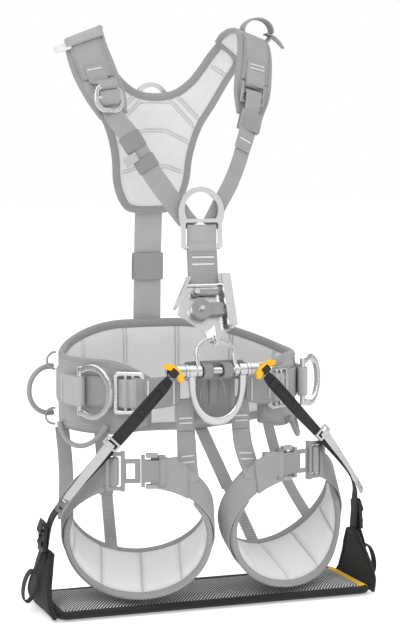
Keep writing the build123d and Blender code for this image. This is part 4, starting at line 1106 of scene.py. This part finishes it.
def chest():
    """The two chest straps, their folds round the buckles, their keepers and the sternal fold."""
    left = [(-120, -56, 412), (-102, -64, 374), (-66, -78, 312), (-20, -91, 246)]
    wide = chest_direction(left)
    across = (-wide.x, -wide.y, -wide.z)
    level = (0.98, -0.15, 0.15)
    stations = [((-125, -44.6, 428), level, 26), ((-124, -46.2, 424), level, 26), ((-122.5, -48.0, 412), level, 27),
                ((-119, -51.6, 402), level, 28), ((-113.5, -55.6, 391), (0.93, -0.1, 0.35), 28)]
    stations += [(p, across, 28) for p in ((-102, -64, 374), (-84, -71, 343), (-66, -78, 312), (-43, -84.5, 279))]
    stations += [((-24, -90, 252), across, 27), ((-14, -93.5, 240), (0.9, 0, 0.43), 27)]
    strap("chest_webbing_left", stations, 2.4, WEBBING, "harness", ("chest_straps",), steps=6)
    under = [((-98, -60.5, 371), across, 27), ((-84, -66.6, 347), across, 27), ((-70, -72.2, 323), across, 26)]
    strap("chest_tail_left", under, 2.2, WEBBING, "harness", steps=6)
    right = [(94, -53, 412), (76, -64, 352), (52, -77, 300), (17, -90, 246)]
    wide = chest_direction(right)
    across = (-wide.x, -wide.y, -wide.z)
    level = (0.96, 0.08, -0.22)
    stations = [((97.5, -38.5, 419), level, 25), ((99.5, -39.6, 427), level, 25), ((100, -44.6, 436.6), level, 25),
                ((99.8, -50.2, 430), level, 25), ((95, -54.5, 411), (0.95, 0.1, -0.26), 24),
                ((91, -57.8, 401), (0.94, 0.1, -0.3), 23)]
    strap("chest_lead_right", stations, 2.4, WEBBING, "harness", steps=6)
    stations = [((86.5, -59.4, 381), across, 23), ((78, -64.6, 357), across, 24), ((66, -71, 327), across, 24),
                ((52, -77.6, 300), across, 24), ((34, -84, 272), across, 24), ((20, -90, 250), across, 24),
                ((13, -93.5, 240), (0.9, 0, -0.43), 24)]
    strap("chest_webbing_right", stations, 2.4, WEBBING, "harness", steps=7)
    end = [((84.5, -63.6, 379), across, 27), ((79.6, -66.6, 366), across, 27), ((73, -69.8, 350), across, 26)]
    strap("chest_end_right", end, 2.2, WEBBING, "harness", steps=5)
    tacks = [((79.0, -68.6, 364), tuple(across), (0, -1, -0.1), 20, 2.4)]
    bars("chest_tacks", tacks, THREAD, "harness")
    first, second = Vector((-102, -64, 374)), Vector((-66, -78, 312))
    along = (second - first).normalized()
    wide = Vector(chest_direction(left))
    normal = along.cross(wide).normalized()
    if normal.y > 0:
        normal = -normal
    for k, at in enumerate((0.22, 0.72)):
        middle = first + (second - first) * at + normal * -1.0
        loop = []
        for step in range(25):
            turn = 2 * math.pi * step / 24
            c, s = math.cos(turn), math.sin(turn)
            flat = math.copysign(abs(c) ** 0.45, c) * 15.6
            lift = math.copysign(abs(s) ** 0.8, s) * 4.0
            loop.append((tuple(middle + wide * flat + normal * lift), tuple(along), 13))
        wide_band = [(p, d, 24 - 5 * k) for p, d, _ in loop]
        strap(f"chest_keeper_{k}", wide_band, 1.6, DARK_WEBBING, "harness", steps=3, wrinkle=0.15)
    middle = first + (second - first) * 0.5 + normal * 4.6 + wide * 15
    tab = [(tuple(middle + wide * v), tuple(along), 13) for v in (-9, -2, 5, 11)]
    strap("chest_small_tab", tab, 1.8, PALE_WEBBING, "harness", steps=4, wrinkle=0.5)
    rows, columns = 27, 31
    share = np.linspace(-1, 1, columns)[None, :]
    tall = np.linspace(0, 1, rows)[:, None]
    x = 21.4 * share * np.ones((rows, 1))
    z = 201.8 + (240.5 - 201.8) * (1 - tall) * np.ones((1, columns))
    y = -99.0 + 0 * x
    inside = np.minimum((1 - np.abs(share)) * 21.4, np.minimum(tall, 1 - tall) * 38.7)
    rim = np.sqrt(1 - (1 - np.clip(inside / 5.5, 0, 1)) ** 2)
    thick = 1.5 + 5.0 * rim - 1.5 * groove(z - 216.0, 1.6) * (inside > 2)
    uv = np.stack([z, x], -1)
    shell("sternal_fold", np.stack([x, y, z], -1), thick, thick, uv, [SHELL], "harness",
          replaces=("sternal_webbing",))
    band = [((0, -98.6, 214), (1, 0, 0), 43), ((0, -102.6, 196), (1, 0, 0), 44), ((0, -105.2, 172), (1, 0, 0), 44),
            ((0, -106.8, 156), (1, 0, 0), 43), ((0, -105.0, 150), (1, 0, 0), 43), ((0, -102.0, 156), (1, 0, 0), 43),
            ((0, -98.8, 186), (1, 0, 0), 43), ((0, -94.6, 210), (1, 0, 0), 43)]
    strap("sternal_band", band, 2.4, WEBBING, "harness", steps=7)
    places = [((0, -104.9, 194.5), (1, 0, 0), (0, -1, 0), 34, 2.8), ((0, -105.6, 184.5), (1, 0, 0), (0, -1, 0), 34, 2.8)]
    bars("sternal_tacks", places, THREAD, "harness")


chest()


# ------------------------------------------------------------------ leg loops
LEG_YAW = math.radians(-15.5)


def leg_frame(angle, out=0.0):
    """A point of the thigh band and its width direction; the angle is 0 at its lowest point."""
    rad = math.radians(angle)
    rise = (1 - math.cos(rad)) / 2
    lean = math.radians(28.0 + 57.0 * rise)
    centre = np.array([-101.0 * math.sin(rad), -38.0 * rise + 14.0 * max(0.0, math.sin(rad)) ** 2, -78.5 * math.cos(rad)])
    tangent = np.array([-101.0 * math.cos(rad), -19.0 * math.sin(rad), 78.5 * math.sin(rad)])
    across = np.array([0.0, math.cos(lean), math.sin(lean)])
    outward = unit(np.cross(tangent, across))
    if outward @ centre < 0:
        outward = -outward
    return centre + outward * out, across, rise, outward


def in_leg(point, place=True):
    """A point or a direction from the leg loop's own frame."""
    c, s = math.cos(LEG_YAW), math.sin(LEG_YAW)
    moved = np.array([point[0] * c - point[1] * s, point[0] * s + point[1] * c, point[2]])
    return tuple(moved + np.array([-107.5, -127.0, -178.5])) if place else tuple(moved)


def leg_stations(low, high, count, out, full, spare=0.0):
    """Stations of a band round the thigh."""
    made = []
    for i in range(count + 1):
        centre, across, rise, _ = leg_frame(low + (high - low) * i / count, out)
        width = 44.0 + full * 62.0 * (1 - rise) ** 2 - spare
        made.append((in_leg(centre), in_leg(across, False), width))
    return made


def leg(side, name):
    """One leg loop: padded band, webbing, folds at the buckle and the strap up to the belt."""
    body = f"leg_{name}"
    seams = [(angle + 128.0) / 240.0 for angle in (-82, -42, -4, 35, 74)]
    cushion(f"leg_cushion_{name}", leg_stations(-128, 112, 16, 0.0, 1), body, seams,
            replaces=(f"leg_pad_{name}",), side=side, steps=6, columns=37, thick=(4.8, 5.2), border=10.5)
    strap(f"leg_band_{name}", leg_stations(-156, 152, 26, 7.0, 0, 3.0), 2.4, WEBBING, body,
          (f"leg_webbing_{name}",), side=side, steps=4)
    centre = np.array(leg_frame(180.0)[0]) + np.array([0, -9.0, 0])
    far = []
    for x, y in ((33 + 22, 5), (33 + 12, 0.5), (33, -5.0), (31, -7.4), (34.4, -8.0), (38, -4.0), (46, 3.4), (56, 8.5)):
        far.append((in_leg(centre + np.array([x, y, 0])), (0, 0, 1), 36))
    strap(f"leg_fold_inner_{name}", far, 2.0, WEBBING, body, side=side, steps=5, wrinkle=0.15)
    near = []
    for x, y in ((-60, 10.5), (-48, 4.5), (-38, -1.5), (-33, -4.8), (-28.5, -1.0), (-31, 3.6), (-42, 5.4), (-52, 10.0)):
        near.append((in_leg(centre + np.array([x, y, 0])), (0, 0, 1), 38))
    strap(f"leg_fold_outer_{name}", near, 2.0, WEBBING, body, side=side, steps=5, wrinkle=0.15)
    hang = [((-42, -150, -51.5), (1, 0, 0), 26), ((-43, -156.5, -74), (1, 0, 0), 27), ((-46, -168, -96), (1, 0, 0.1), 28),
            ((-49, -180.5, -112), (1, 0, 0.2), 30), ((-50, -183.6, -121), (1, 0, 0.25), 30)]
    strap(f"leg_hanger_{name}", hang, 3.4, WEBBING, body, side=side, steps=7)
    wrap = []
    for angle, out in ((-170, 9.2), (-163, 10.6), (-154, 11.0), (-146, 10.6), (-139, 9.4)):
        spot, across, _, _ = leg_frame(angle, out)
        wrap.append((in_leg(spot), in_leg(across, False), 46))
    strap(f"leg_wrap_{name}", wrap, 2.6, WEBBING, body, side=side, steps=7, wrinkle=0.5)
    tacks = []
    for spot in ((-44, -164.0, -84.5), (-45, -168.2, -92.5)):
        tacks.append((spot, (1, 0, 0.06), (0, -0.9, 0.45), 20, 2.4))
    bars(f"leg_tacks_{name}", tacks, THREAD, body, side)


for side, name in ((-1, "left"), (1, "right")):
    leg(side, name)


def between(start, end, low, high, across, width, count=6, lift=0.0):
    """Stations on a straight run between two points, from one share to another."""
    first, last = np.array(start, float), np.array(end, float)
    made = []
    for i in range(count + 1):
        share = low + (high - low) * i / count
        spot = first + (last - first) * share + np.array([0, lift, 0])
        made.append((tuple(spot), across, width))
    return made


def leg_rigging():
    """The elastics and outer straps between the belt and the leg loops."""
    for side, name, foot in ((-1, "left", (-132, -74, -223)), (1, "right", (-86, -79, -229))):
        top = (-84, 138, -95.5)
        upper = between(top, foot, -0.03, 0.56, (1, 0, 0), 21)
        made = strap(f"elastic_top_{name}", upper, 2.6, WEBBING, None, side=side, steps=8)
        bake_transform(made)
        lower = between(top, foot, 0.44, 1.05, (1, 0, 0), 17.5, lift=-2.6)
        made = strap(f"elastic_run_{name}", lower, 1.6, ELASTIC, None, (f"leg_elastic_{name}",), side=side,
                     steps=8, ribs=1.5, rib_period=5.0, wrinkle=0.1)
        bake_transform(made)
    for side, name, foot, bow in ((-1, "left", (-200, -71, -176), 4.0), (1, "right", (-178, -68, -195), 9.0)):
        top = (-170, 52, -84)
        run = [(tuple(np.array(p) + np.array([bow, 0, -0.4 * bow]) * math.sin(math.pi * k / 10)), a, w)
               for k, (p, a, w) in enumerate(between(top, foot, -0.15, 1.05, (0.95, -0.3, 0), 20, 10))]
        made = strap(f"outer_strap_{name}", run, 2.4, WEBBING, None, (f"leg_side_strap_{name}",), side=side,
                     steps=8)
        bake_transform(made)


leg_rigging()


# ------------------------------------------------------------------ gear loops
def gear_tube(name, start, middle, end, radius, side, replaces=()):
    """A covered tube on an arc, with sewn ends."""
    a, b, c = (np.array(p, float) for p in (start, middle, end))
    ab, ac = b - a, c - a
    axis = np.cross(ab, ac)
    centre = a + (np.cross(axis, ab) * (ac @ ac) + np.cross(ac, axis) * (ab @ ab)) / (2 * (axis @ axis))
    size = np.linalg.norm(a - centre)
    u = (a - centre) / size
    w = unit(axis)
    v = np.cross(w, u)
    total = math.atan2((c - centre) @ v, (c - centre) @ u) % (2 * math.pi)
    rows, ring = 180, 20
    points, coords, faces = [], [], []
    for i in range(rows + 1):
        share = i / rows
        turn = total * share
        outward = u * math.cos(turn) + v * math.sin(turn)
        spot = centre + outward * size
        run = share * total * size
        from_end = min(run, total * size - run)
        wide = radius * (1 + 0.03 * math.cos(2 * math.pi * run / 2.2))
        if from_end < 13:
            wide = radius * 1.16 + 0.12 * math.cos(2 * math.pi * run / 1.6)
        for k in range(ring):
            t = 2 * math.pi * k / ring
            point = spot + (outward * math.cos(t) + w * math.sin(t)) * wide
            points.append(point * np.array([-1.0, 1.0, 1.0]) if side > 0 else point)
            coords.append((run, radius * t))
    for i in range(rows):
        for k in range(ring):
            n = (k + 1) % ring
            quad = (i * ring + k, i * ring + n, (i + 1) * ring + n, (i + 1) * ring + k)
            faces.append(quad if side > 0 else quad[::-1])
    caps = [tuple(range(ring - 1, -1, -1)), tuple(rows * ring + k for k in range(ring))]
    faces += [cap if side > 0 else cap[::-1] for cap in caps]
    return make_object(name, points, faces, [0] * len(faces), coords, [TUBE], "harness", replaces)


for side, name in ((-1, "left"), (1, "right")):
    gear_tube(f"gear_tube_rear_{name}", (-179.5, 72, 24), (-219, 60, -11), (-179.5, 72, -46), 3.8, side,
              ("gear_loops_rear",) if side < 0 else ())
    gear_tube(f"gear_tube_front_{name}", (-186.5, 4, -52), (-176, -42, -80), (-142.5, -91.5, -46), 3.6, side,
              ("gear_loops_front",) if side < 0 else ())


for side, name in ((-1, "left"), (1, "right")):
    gear_tube(f"cord_loop_upper_{name}", (-177.5, 58, 47), (-190.5, 62, 34), (-178.0, 60, 21), 1.5, side)
    gear_tube(f"cord_loop_lower_{name}", (-179.0, 58, -38), (-193.0, 62, -48), (-178.5, 60, -62), 1.5, side)


# ------------------------------------------------------------------ seat
SEAT_TOP = -291.0


def seat():
    """The padded seat with its mesh top, bound edge and coloured end bands."""
    corner = 16
    half_x, low_y, high_y = 238.5, -178.5, -35.5
    outline = []
    steps = {270: (0, 1), 0: (-1, 0), 90: (0, -1), 180: (1, 0)}
    for cx, cy, start in ((half_x - corner, low_y + corner, 270), (half_x - corner, high_y - corner, 0),
                          (-half_x + corner, high_y - corner, 90), (-half_x + corner, low_y + corner, 180)):
        for k in range(5):
            turn = math.radians(start + 22.5 * k)
            outline.append((cx + corner * math.cos(turn), cy + corner * math.sin(turn)))
        length = high_y - low_y - 2 * corner if start in (270, 90) else 2 * (half_x - corner)
        ahead = steps[start]
        for share in (0.08, 0.35, 0.65, 0.92):
            outline.append((outline[-1][0], outline[-1][1]) if share < 0 else
                           (cx + corner * math.cos(math.radians(start + 90)) + ahead[0] * length * share,
                            cy + corner * math.sin(math.radians(start + 90)) + ahead[1] * length * share))

    def bands(flat):
        return np.abs(flat[:, 0] - 230.0)

    def face(flat, depth):
        rim = np.sqrt(1 - (1 - np.clip(depth / 5.5, 0, 1)) ** 2)
        inner = np.clip((depth - 11.5) / 26.0, 0, 1)
        puff = 1 - (1 - inner) ** 2
        sag = np.array([noise.noise(Vector((x * 0.012, y * 0.02, 2.0))) for x, y in flat])
        band = np.clip(1 - bands(flat) / 6.5, 0, 1) ** 0.4 * (depth > 3)
        return 1.6 + 4.0 * rim + 1.9 * puff - 1.9 * groove(depth - 11.5, 1.6) + sag * 0.8 * puff + band * 1.1

    def rear(flat, depth):
        rim = np.sqrt(1 - (1 - np.clip(depth / 6.5, 0, 1)) ** 2)
        return 1.6 + 4.1 * rim - 0.9 * groove(depth - 12.0, 1.4)

    def zone(p, d):
        if abs(p[0] - 230.0) < 6.5 and abs(p[1] + 107) < 61:
            return 3
        return 0 if d < 11.5 else 1

    made = plate("seat_pad", outline, 4.2, face, rear, lambda x, y, h: (x, y, SEAT_TOP - 6.6 + h),
                 [BLACK_TRIM, MESH, BLACK_CLOTH, YELLOW_CLOTH], "seat", zone_out=zone,
                 zone_back=lambda p, d: 0 if d < 12 else 2, zone_rim=0, smooth=2,
                 replaces=("seat_cover", "seat_mesh", "seat_stripes"),
                 sewn=lambda f, d: (np.clip(1.0 * (d < 13) + (bands(f) < 8), 0, 1), np.ones(len(f))),
                 rings=(2.0, 5.0, 11.5), lines=([(223.5, -168), (223.5, -46)],))
    padded(made, 0.45, cap=1.6)
    return made


seat()


def seat_side(side, name):
    """One end of the seat: its wing, hanging strap, tape and pull tail."""
    profile = [(-242.0, -300.0, -177.0, -38.0), (-246.0, -290.0, -171.5, -43.0), (-247.0, -281.5, -169.0, -45.5),
               (-246.0, -267.0, -160.0, -55.0), (-243.5, -255.0, -153.5, -65.0), (-240.0, -241.5, -146.5, -76.0),
               (-237.0, -230.0, -139.0, -88.0), (-233.5, -218.5, -131.0, -100.0)]
    stations = [((x, (low + high) / 2, z), (0, 1, 0), high - low) for x, z, low, high in profile]
    grid, uv, run, width = strap_grid(stations, 8, 41)
    rows, columns = grid.shape[:2]
    share = np.linspace(-0.5, 0.5, columns)
    inside = np.minimum(width[:, None] * (0.5 - np.abs(share))[None, :], (run[-1] - run)[:, None] + 2.0)
    rim = np.sqrt(np.clip(1 - (1 - np.clip(inside / 4.5, 0, 1)) ** 2, 0, 1))
    rolled = np.exp(-(np.maximum(inside - 4.0, 0) / 4.0) ** 2)
    soft = np.array([[noise.noise(Vector(grid[i, j] * 0.02)) for j in range(columns)] for i in range(rows)])
    thick = 1.0 + (1.1 + 1.7 * rolled) * rim - 0.8 * groove(inside - 9.5, 1.3)
    bulge = (1 - (1 - np.clip((inside - 10) / 22, 0, 1)) ** 2)
    out = thick + soft * 0.8 * rim + bulge * 0.9
    back = thick - soft * 0.5 * rim + bulge * 0.4
    zone = np.where(inside < 9.5, 1, 0)
    firm = np.clip(0.4 + (inside < 10.5), 0, 1)
    made = shell(f"seat_wing_{name}", grid, out, np.maximum(back, 0.6), uv, [BLACK_CLOTH, BLACK_TRIM], "seat",
                 zone, zone, zone_rim=1, replaces=("seat_wings",) if side < 0 else (), side=side, sewn=(firm, firm))
    padded(made, 0.3, cap=2.2, pressure=2.5)

    line = [((-73, -171, 27), (0.69, 0, -0.72), 12), ((-82, -171.5, 17), (0.69, 0, -0.72), 16.5),
            ((-100, -171, -2), (0.69, -0.08, -0.7), 17), ((-124, -170, -28), (0.67, -0.26, -0.67), 17.5),
            ((-164, -168, -70), (0.56, -0.6, -0.56), 17.5), ((-199, -160, -110), (0.35, -0.88, -0.3), 18),
            ((-224, -144, -145), (0.15, -1, -0.15), 18), ((-235, -122, -174), (0.05, -1, -0.05), 20),
            ((-239.2, -108, -221), (0, -1, 0), 22)]
    strap(f"seat_webbing_{name}", line, 2.2, BLACK_WEBBING, "seat", ("seat_straps",) if side < 0 else (),
          side=side, steps=8, columns=15)
    over = [((-81, -174.2, 18.5), (0.69, 0, -0.72), 12.5), ((-86, -174.4, 13), (0.69, 0, -0.72), 14.5),
            ((-100, -173.8, -2), (0.69, -0.08, -0.7), 15.5), ((-117, -173.0, -20.5), (0.68, -0.2, -0.68), 15)]
    strap(f"seat_lap_{name}", over, 2.2, BLACK_WEBBING, "seat", side=side, steps=8)
    places = []
    start, end = np.array((-88, -175.9, 10.6)), np.array((-112, -174.6, -15.2))
    wide = unit(np.array((0.69, 0, -0.72)))
    along = unit(end - start)
    for spot in (start, end):
        places.append((tuple(spot), tuple(wide), (-0.1, -1, 0), 12, 2.0))
    for shift in (-5.0, 5.0):
        places.append((tuple((start + end) / 2 + wide * shift), tuple(along), (-0.1, -1, 0), 34, 1.5))
    bars(f"seat_lap_tacks_{name}", places, BLACK_TRIM, "seat", side)
    turn = math.radians(42)
    right, up = np.array([math.cos(turn), 0, -math.sin(turn)]), np.array([math.sin(turn), 0, math.cos(turn)])
    middle = np.array([-69.0, -174.2, 37.0])
    loop = []
    for k in range(21):
        t = 2 * math.pi * k / 20
        c, s = math.cos(t), math.sin(t)
        spot = middle + up * (math.copysign(abs(s) ** 0.75, s) * 5.8) + np.array([0, 1.0, 0]) * (math.copysign(abs(c) ** 0.75, c) * 6.4)
        loop.append((tuple(spot), tuple(right), 11.5))
    strap(f"toggle_loop_{name}", loop, 2.0, BLACK_WEBBING, "seat", side=side, steps=3, wrinkle=0.1)
    tape = [((-161, -175.8, -58), (0.74, -0.2, -0.63), 13), ((-176, -173.6, -77), (0.65, -0.45, -0.58), 13),
            ((-196, -169.2, -102), (0.55, -0.68, -0.5), 12.5), ((-211, -163.6, -122), (0.52, -0.73, -0.47), 12),
            ((-224, -157.2, -140), (0.5, -0.76, -0.45), 11.5)]
    strap(f"seat_tape_{name}", tape, 1.8, PALE_TAPE, "seat", ("seat_tapes",) if side < 0 else (), side=side,
          steps=8)
    tail = []
    for k in range(25):
        t = math.radians(75 - 15 * k)
        tail.append((8.7 * math.cos(t), 22.7 * math.sin(t)))
    tilt = math.radians(13)
    def tail_point(x, z):
        return (-263 + x * math.cos(tilt) + z * math.sin(tilt), -112.0, -266 - x * math.sin(tilt) + z * math.cos(tilt))
    lead = [(6.6, 66), (5.4, 52), (3.6, 36), (3.2, 27)]
    path = [(tail_point(x, z), (0, 1, 0), 15.5) for x, z in lead + tail]
    strap(f"pull_tail_{name}", path, 2.0, BLACK_WEBBING, "seat", ("seat_tails",) if side < 0 else (),
          side=side, steps=4, wrinkle=0.5)
    spot = tail_point(4.6, 25)
    bars(f"tail_tacks_{name}", [(spot, (0, 1, 0), (math.cos(tilt), 0, -math.sin(tilt)), 12, 2.2)], BLACK_TRIM, "seat",
         side)
    fold = [((-243.6, -112, -172), (0, 1, 0), 22), ((-247.0, -112, -181), (0, 1, 0), 22), ((-248.8, -112, -188.2), (0, 1, 0), 22),
            ((-244.8, -112, -193), (0, 1, 0), 22), ((-241.4, -112, -196), (0, 1, 0), 22), ((-244.8, -112, -199.5), (0, 1, 0), 22),
            ((-248.6, -112, -204), (0, 1, 0), 22), ((-246.0, -112, -211.5), (0, 1, 0), 22), ((-243.0, -112, -217), (0, 1, 0), 22),
            ((-243.6, -112, -228), (0, 1, 0), 21)]
    strap(f"ladder_webbing_{name}", fold, 1.8, BLACK_WEBBING, "seat", side=side, steps=6, wrinkle=0.2)


for side, name in ((-1, "left"), (1, "right")):
    seat_side(side, name)


# ------------------------------------------------------------------ hardware materials
paint_nodes(FORGED, "belt_buckles", "ventral_bracket", "ventral_ring", "ventral_link", "side_ring_left",
            "side_ring_right", "dorsal_ring", "shoulder_buckles", "sternal_ring", "ascender_frame")
paint_nodes(PIN, "ventral_pin", "seat_eyes")
paint_nodes(TOOTHED, "ascender_cam", "ascender_catch")
paint_nodes(BUCKLE, "chest_buckle", "leg_buckle_tongue_left", "leg_buckle_tongue_right", "leg_buckle_body_left",
            "leg_buckle_body_right")
paint_nodes(GREY_PLASTIC, "dorsal_plate", "leg_tab_upper_left", "leg_tab_upper_right", "leg_tab_lower_left",
            "leg_tab_lower_right")
paint_nodes(BLACK_PLASTIC, "seat_board", "seat_buckles")
paint_nodes(YELLOW, "seat_toggles")


def paint_part(name, made, chosen):
    """Gives the faces of a CAD node whose middle passes a test a second material."""
    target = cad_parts[name]
    target.data.materials.append(made)
    last = len(target.data.materials) - 1
    for face in target.data.polygons:
        if chosen(target.matrix_world @ face.center):
            face.material_index = last


paint_part("shoulder_buckles", BUCKLE, lambda p: p.x > 0)
paint_part("seat_buckles", SILVER, lambda p: p.z > -0.165)


# ------------------------------------------------------------------ studio
def studio():
    """A white seamless floor, soft light from above and both sides, and the camera."""
    scene = bpy.context.scene
    scene.view_settings.view_transform = "Standard"
    world = bpy.data.worlds.new("studio")
    scene.world = world
    world.use_nodes = True
    sky = world.node_tree
    place = sky.nodes.new("ShaderNodeTexCoord")
    parts = sky.nodes.new("ShaderNodeSeparateXYZ")
    level = sky.nodes.new("ShaderNodeMapRange")
    ramp = sky.nodes.new("ShaderNodeValToRGB")
    level.inputs["From Min"].default_value = -1.0
    sky.links.new(place.outputs["Generated"], parts.inputs[0])
    sky.links.new(parts.outputs["Z"], level.inputs["Value"])
    sky.links.new(level.outputs[0], ramp.inputs[0])
    sky.links.new(ramp.outputs[0], sky.nodes["Background"].inputs[0])
    ramp.color_ramp.elements[0].position = 0.56
    ramp.color_ramp.elements[0].color = (1.0, 1.0, 1.0, 1.0)
    ramp.color_ramp.elements[1].position = 0.88
    ramp.color_ramp.elements[1].color = (1.0, 1.0, 1.0, 1.0)
    for at, shade in ((0.02, 0.9), (0.43, 0.9), (0.475, 1.0), (0.60, 0.4), (0.74, 0.4)):
        ramp.color_ramp.elements.new(at).color = (shade, shade, shade, 1.0)
    world.node_tree.nodes["Background"].inputs[1].default_value = 1.0
    bpy.ops.mesh.primitive_plane_add(size=60.0, location=(0, 0, -0.306))
    floor = bpy.context.object
    floor.name = "studio_floor"
    pale = bpy.data.materials.new("studio_white")
    pale.use_nodes = True
    pale.node_tree.nodes["Principled BSDF"].inputs["Base Color"].default_value = (0.95, 0.95, 0.95, 1.0)
    pale.node_tree.nodes["Principled BSDF"].inputs["Roughness"].default_value = 0.9
    pale.node_tree.nodes["Principled BSDF"].inputs["Emission Color"].default_value = (1.0, 1.0, 1.0, 1.0)
    pale.node_tree.nodes["Principled BSDF"].inputs["Emission Strength"].default_value = 0.42
    floor.data.materials.append(pale)
    floor.visible_glossy = False
    dark = bpy.data.materials.new("studio_dark")
    dark.use_nodes = True
    dark.node_tree.nodes["Principled BSDF"].inputs["Base Color"].default_value = (0.03, 0.03, 0.03, 1.0)
    for side in (-1, 1):
        bpy.ops.mesh.primitive_plane_add(size=1.0, location=(side * 2.9, -0.5, 0.5), rotation=(0, math.pi / 2, 0))
        card = bpy.context.object
        card.name = f"studio_card_{side}"
        card.scale = (1.7, 2.6, 1.0)
        card.data.materials.append(dark)
        card.visible_camera = False
        card.visible_shadow = False
        card.visible_diffuse = False
    for name, place, size, power, aim in (
        ("key", (-1.3, -1.8, 1.7), 1.2, 20.0, (0, 0, 0.1)),
        ("fill", (1.9, -1.4, 0.9), 1.4, 7.0, (0, 0, 0.1)),
        ("back", (0.3, 1.6, 1.9), 1.4, 9.0, (0, 0, 0.1)),
        ("top", (0.0, -0.3, 2.4), 2.2, 14.0, (0, 0, 0.0)),
    ):
        lamp = bpy.data.lights.new(name, "AREA")
        lamp.energy = power
        lamp.size = size
        made = bpy.data.objects.new(name, lamp)
        made.location = place
        made.rotation_euler = (Vector(aim) - Vector(place)).to_track_quat("-Z", "Y").to_euler()
        scene.collection.objects.link(made)
    camera = bpy.data.cameras.new("camera")
    camera.sensor_width = 36.0
    camera.sensor_fit = "AUTO"
    camera.lens = 1727.5 / 642 * 36.0
    view = bpy.data.objects.new("camera", camera)
    azimuth, elevation = math.radians(-19.5), math.radians(5.0)
    back = Vector((math.sin(azimuth) * math.cos(elevation), -math.cos(azimuth) * math.cos(elevation), math.sin(elevation)))
    view.location = Vector((0.0271, -0.015, 0.0938)) + back * 2.6
    view.rotation_euler = (-back).to_track_quat("-Z", "Y").to_euler()
    scene.collection.objects.link(view)
    scene.camera = view


studio()
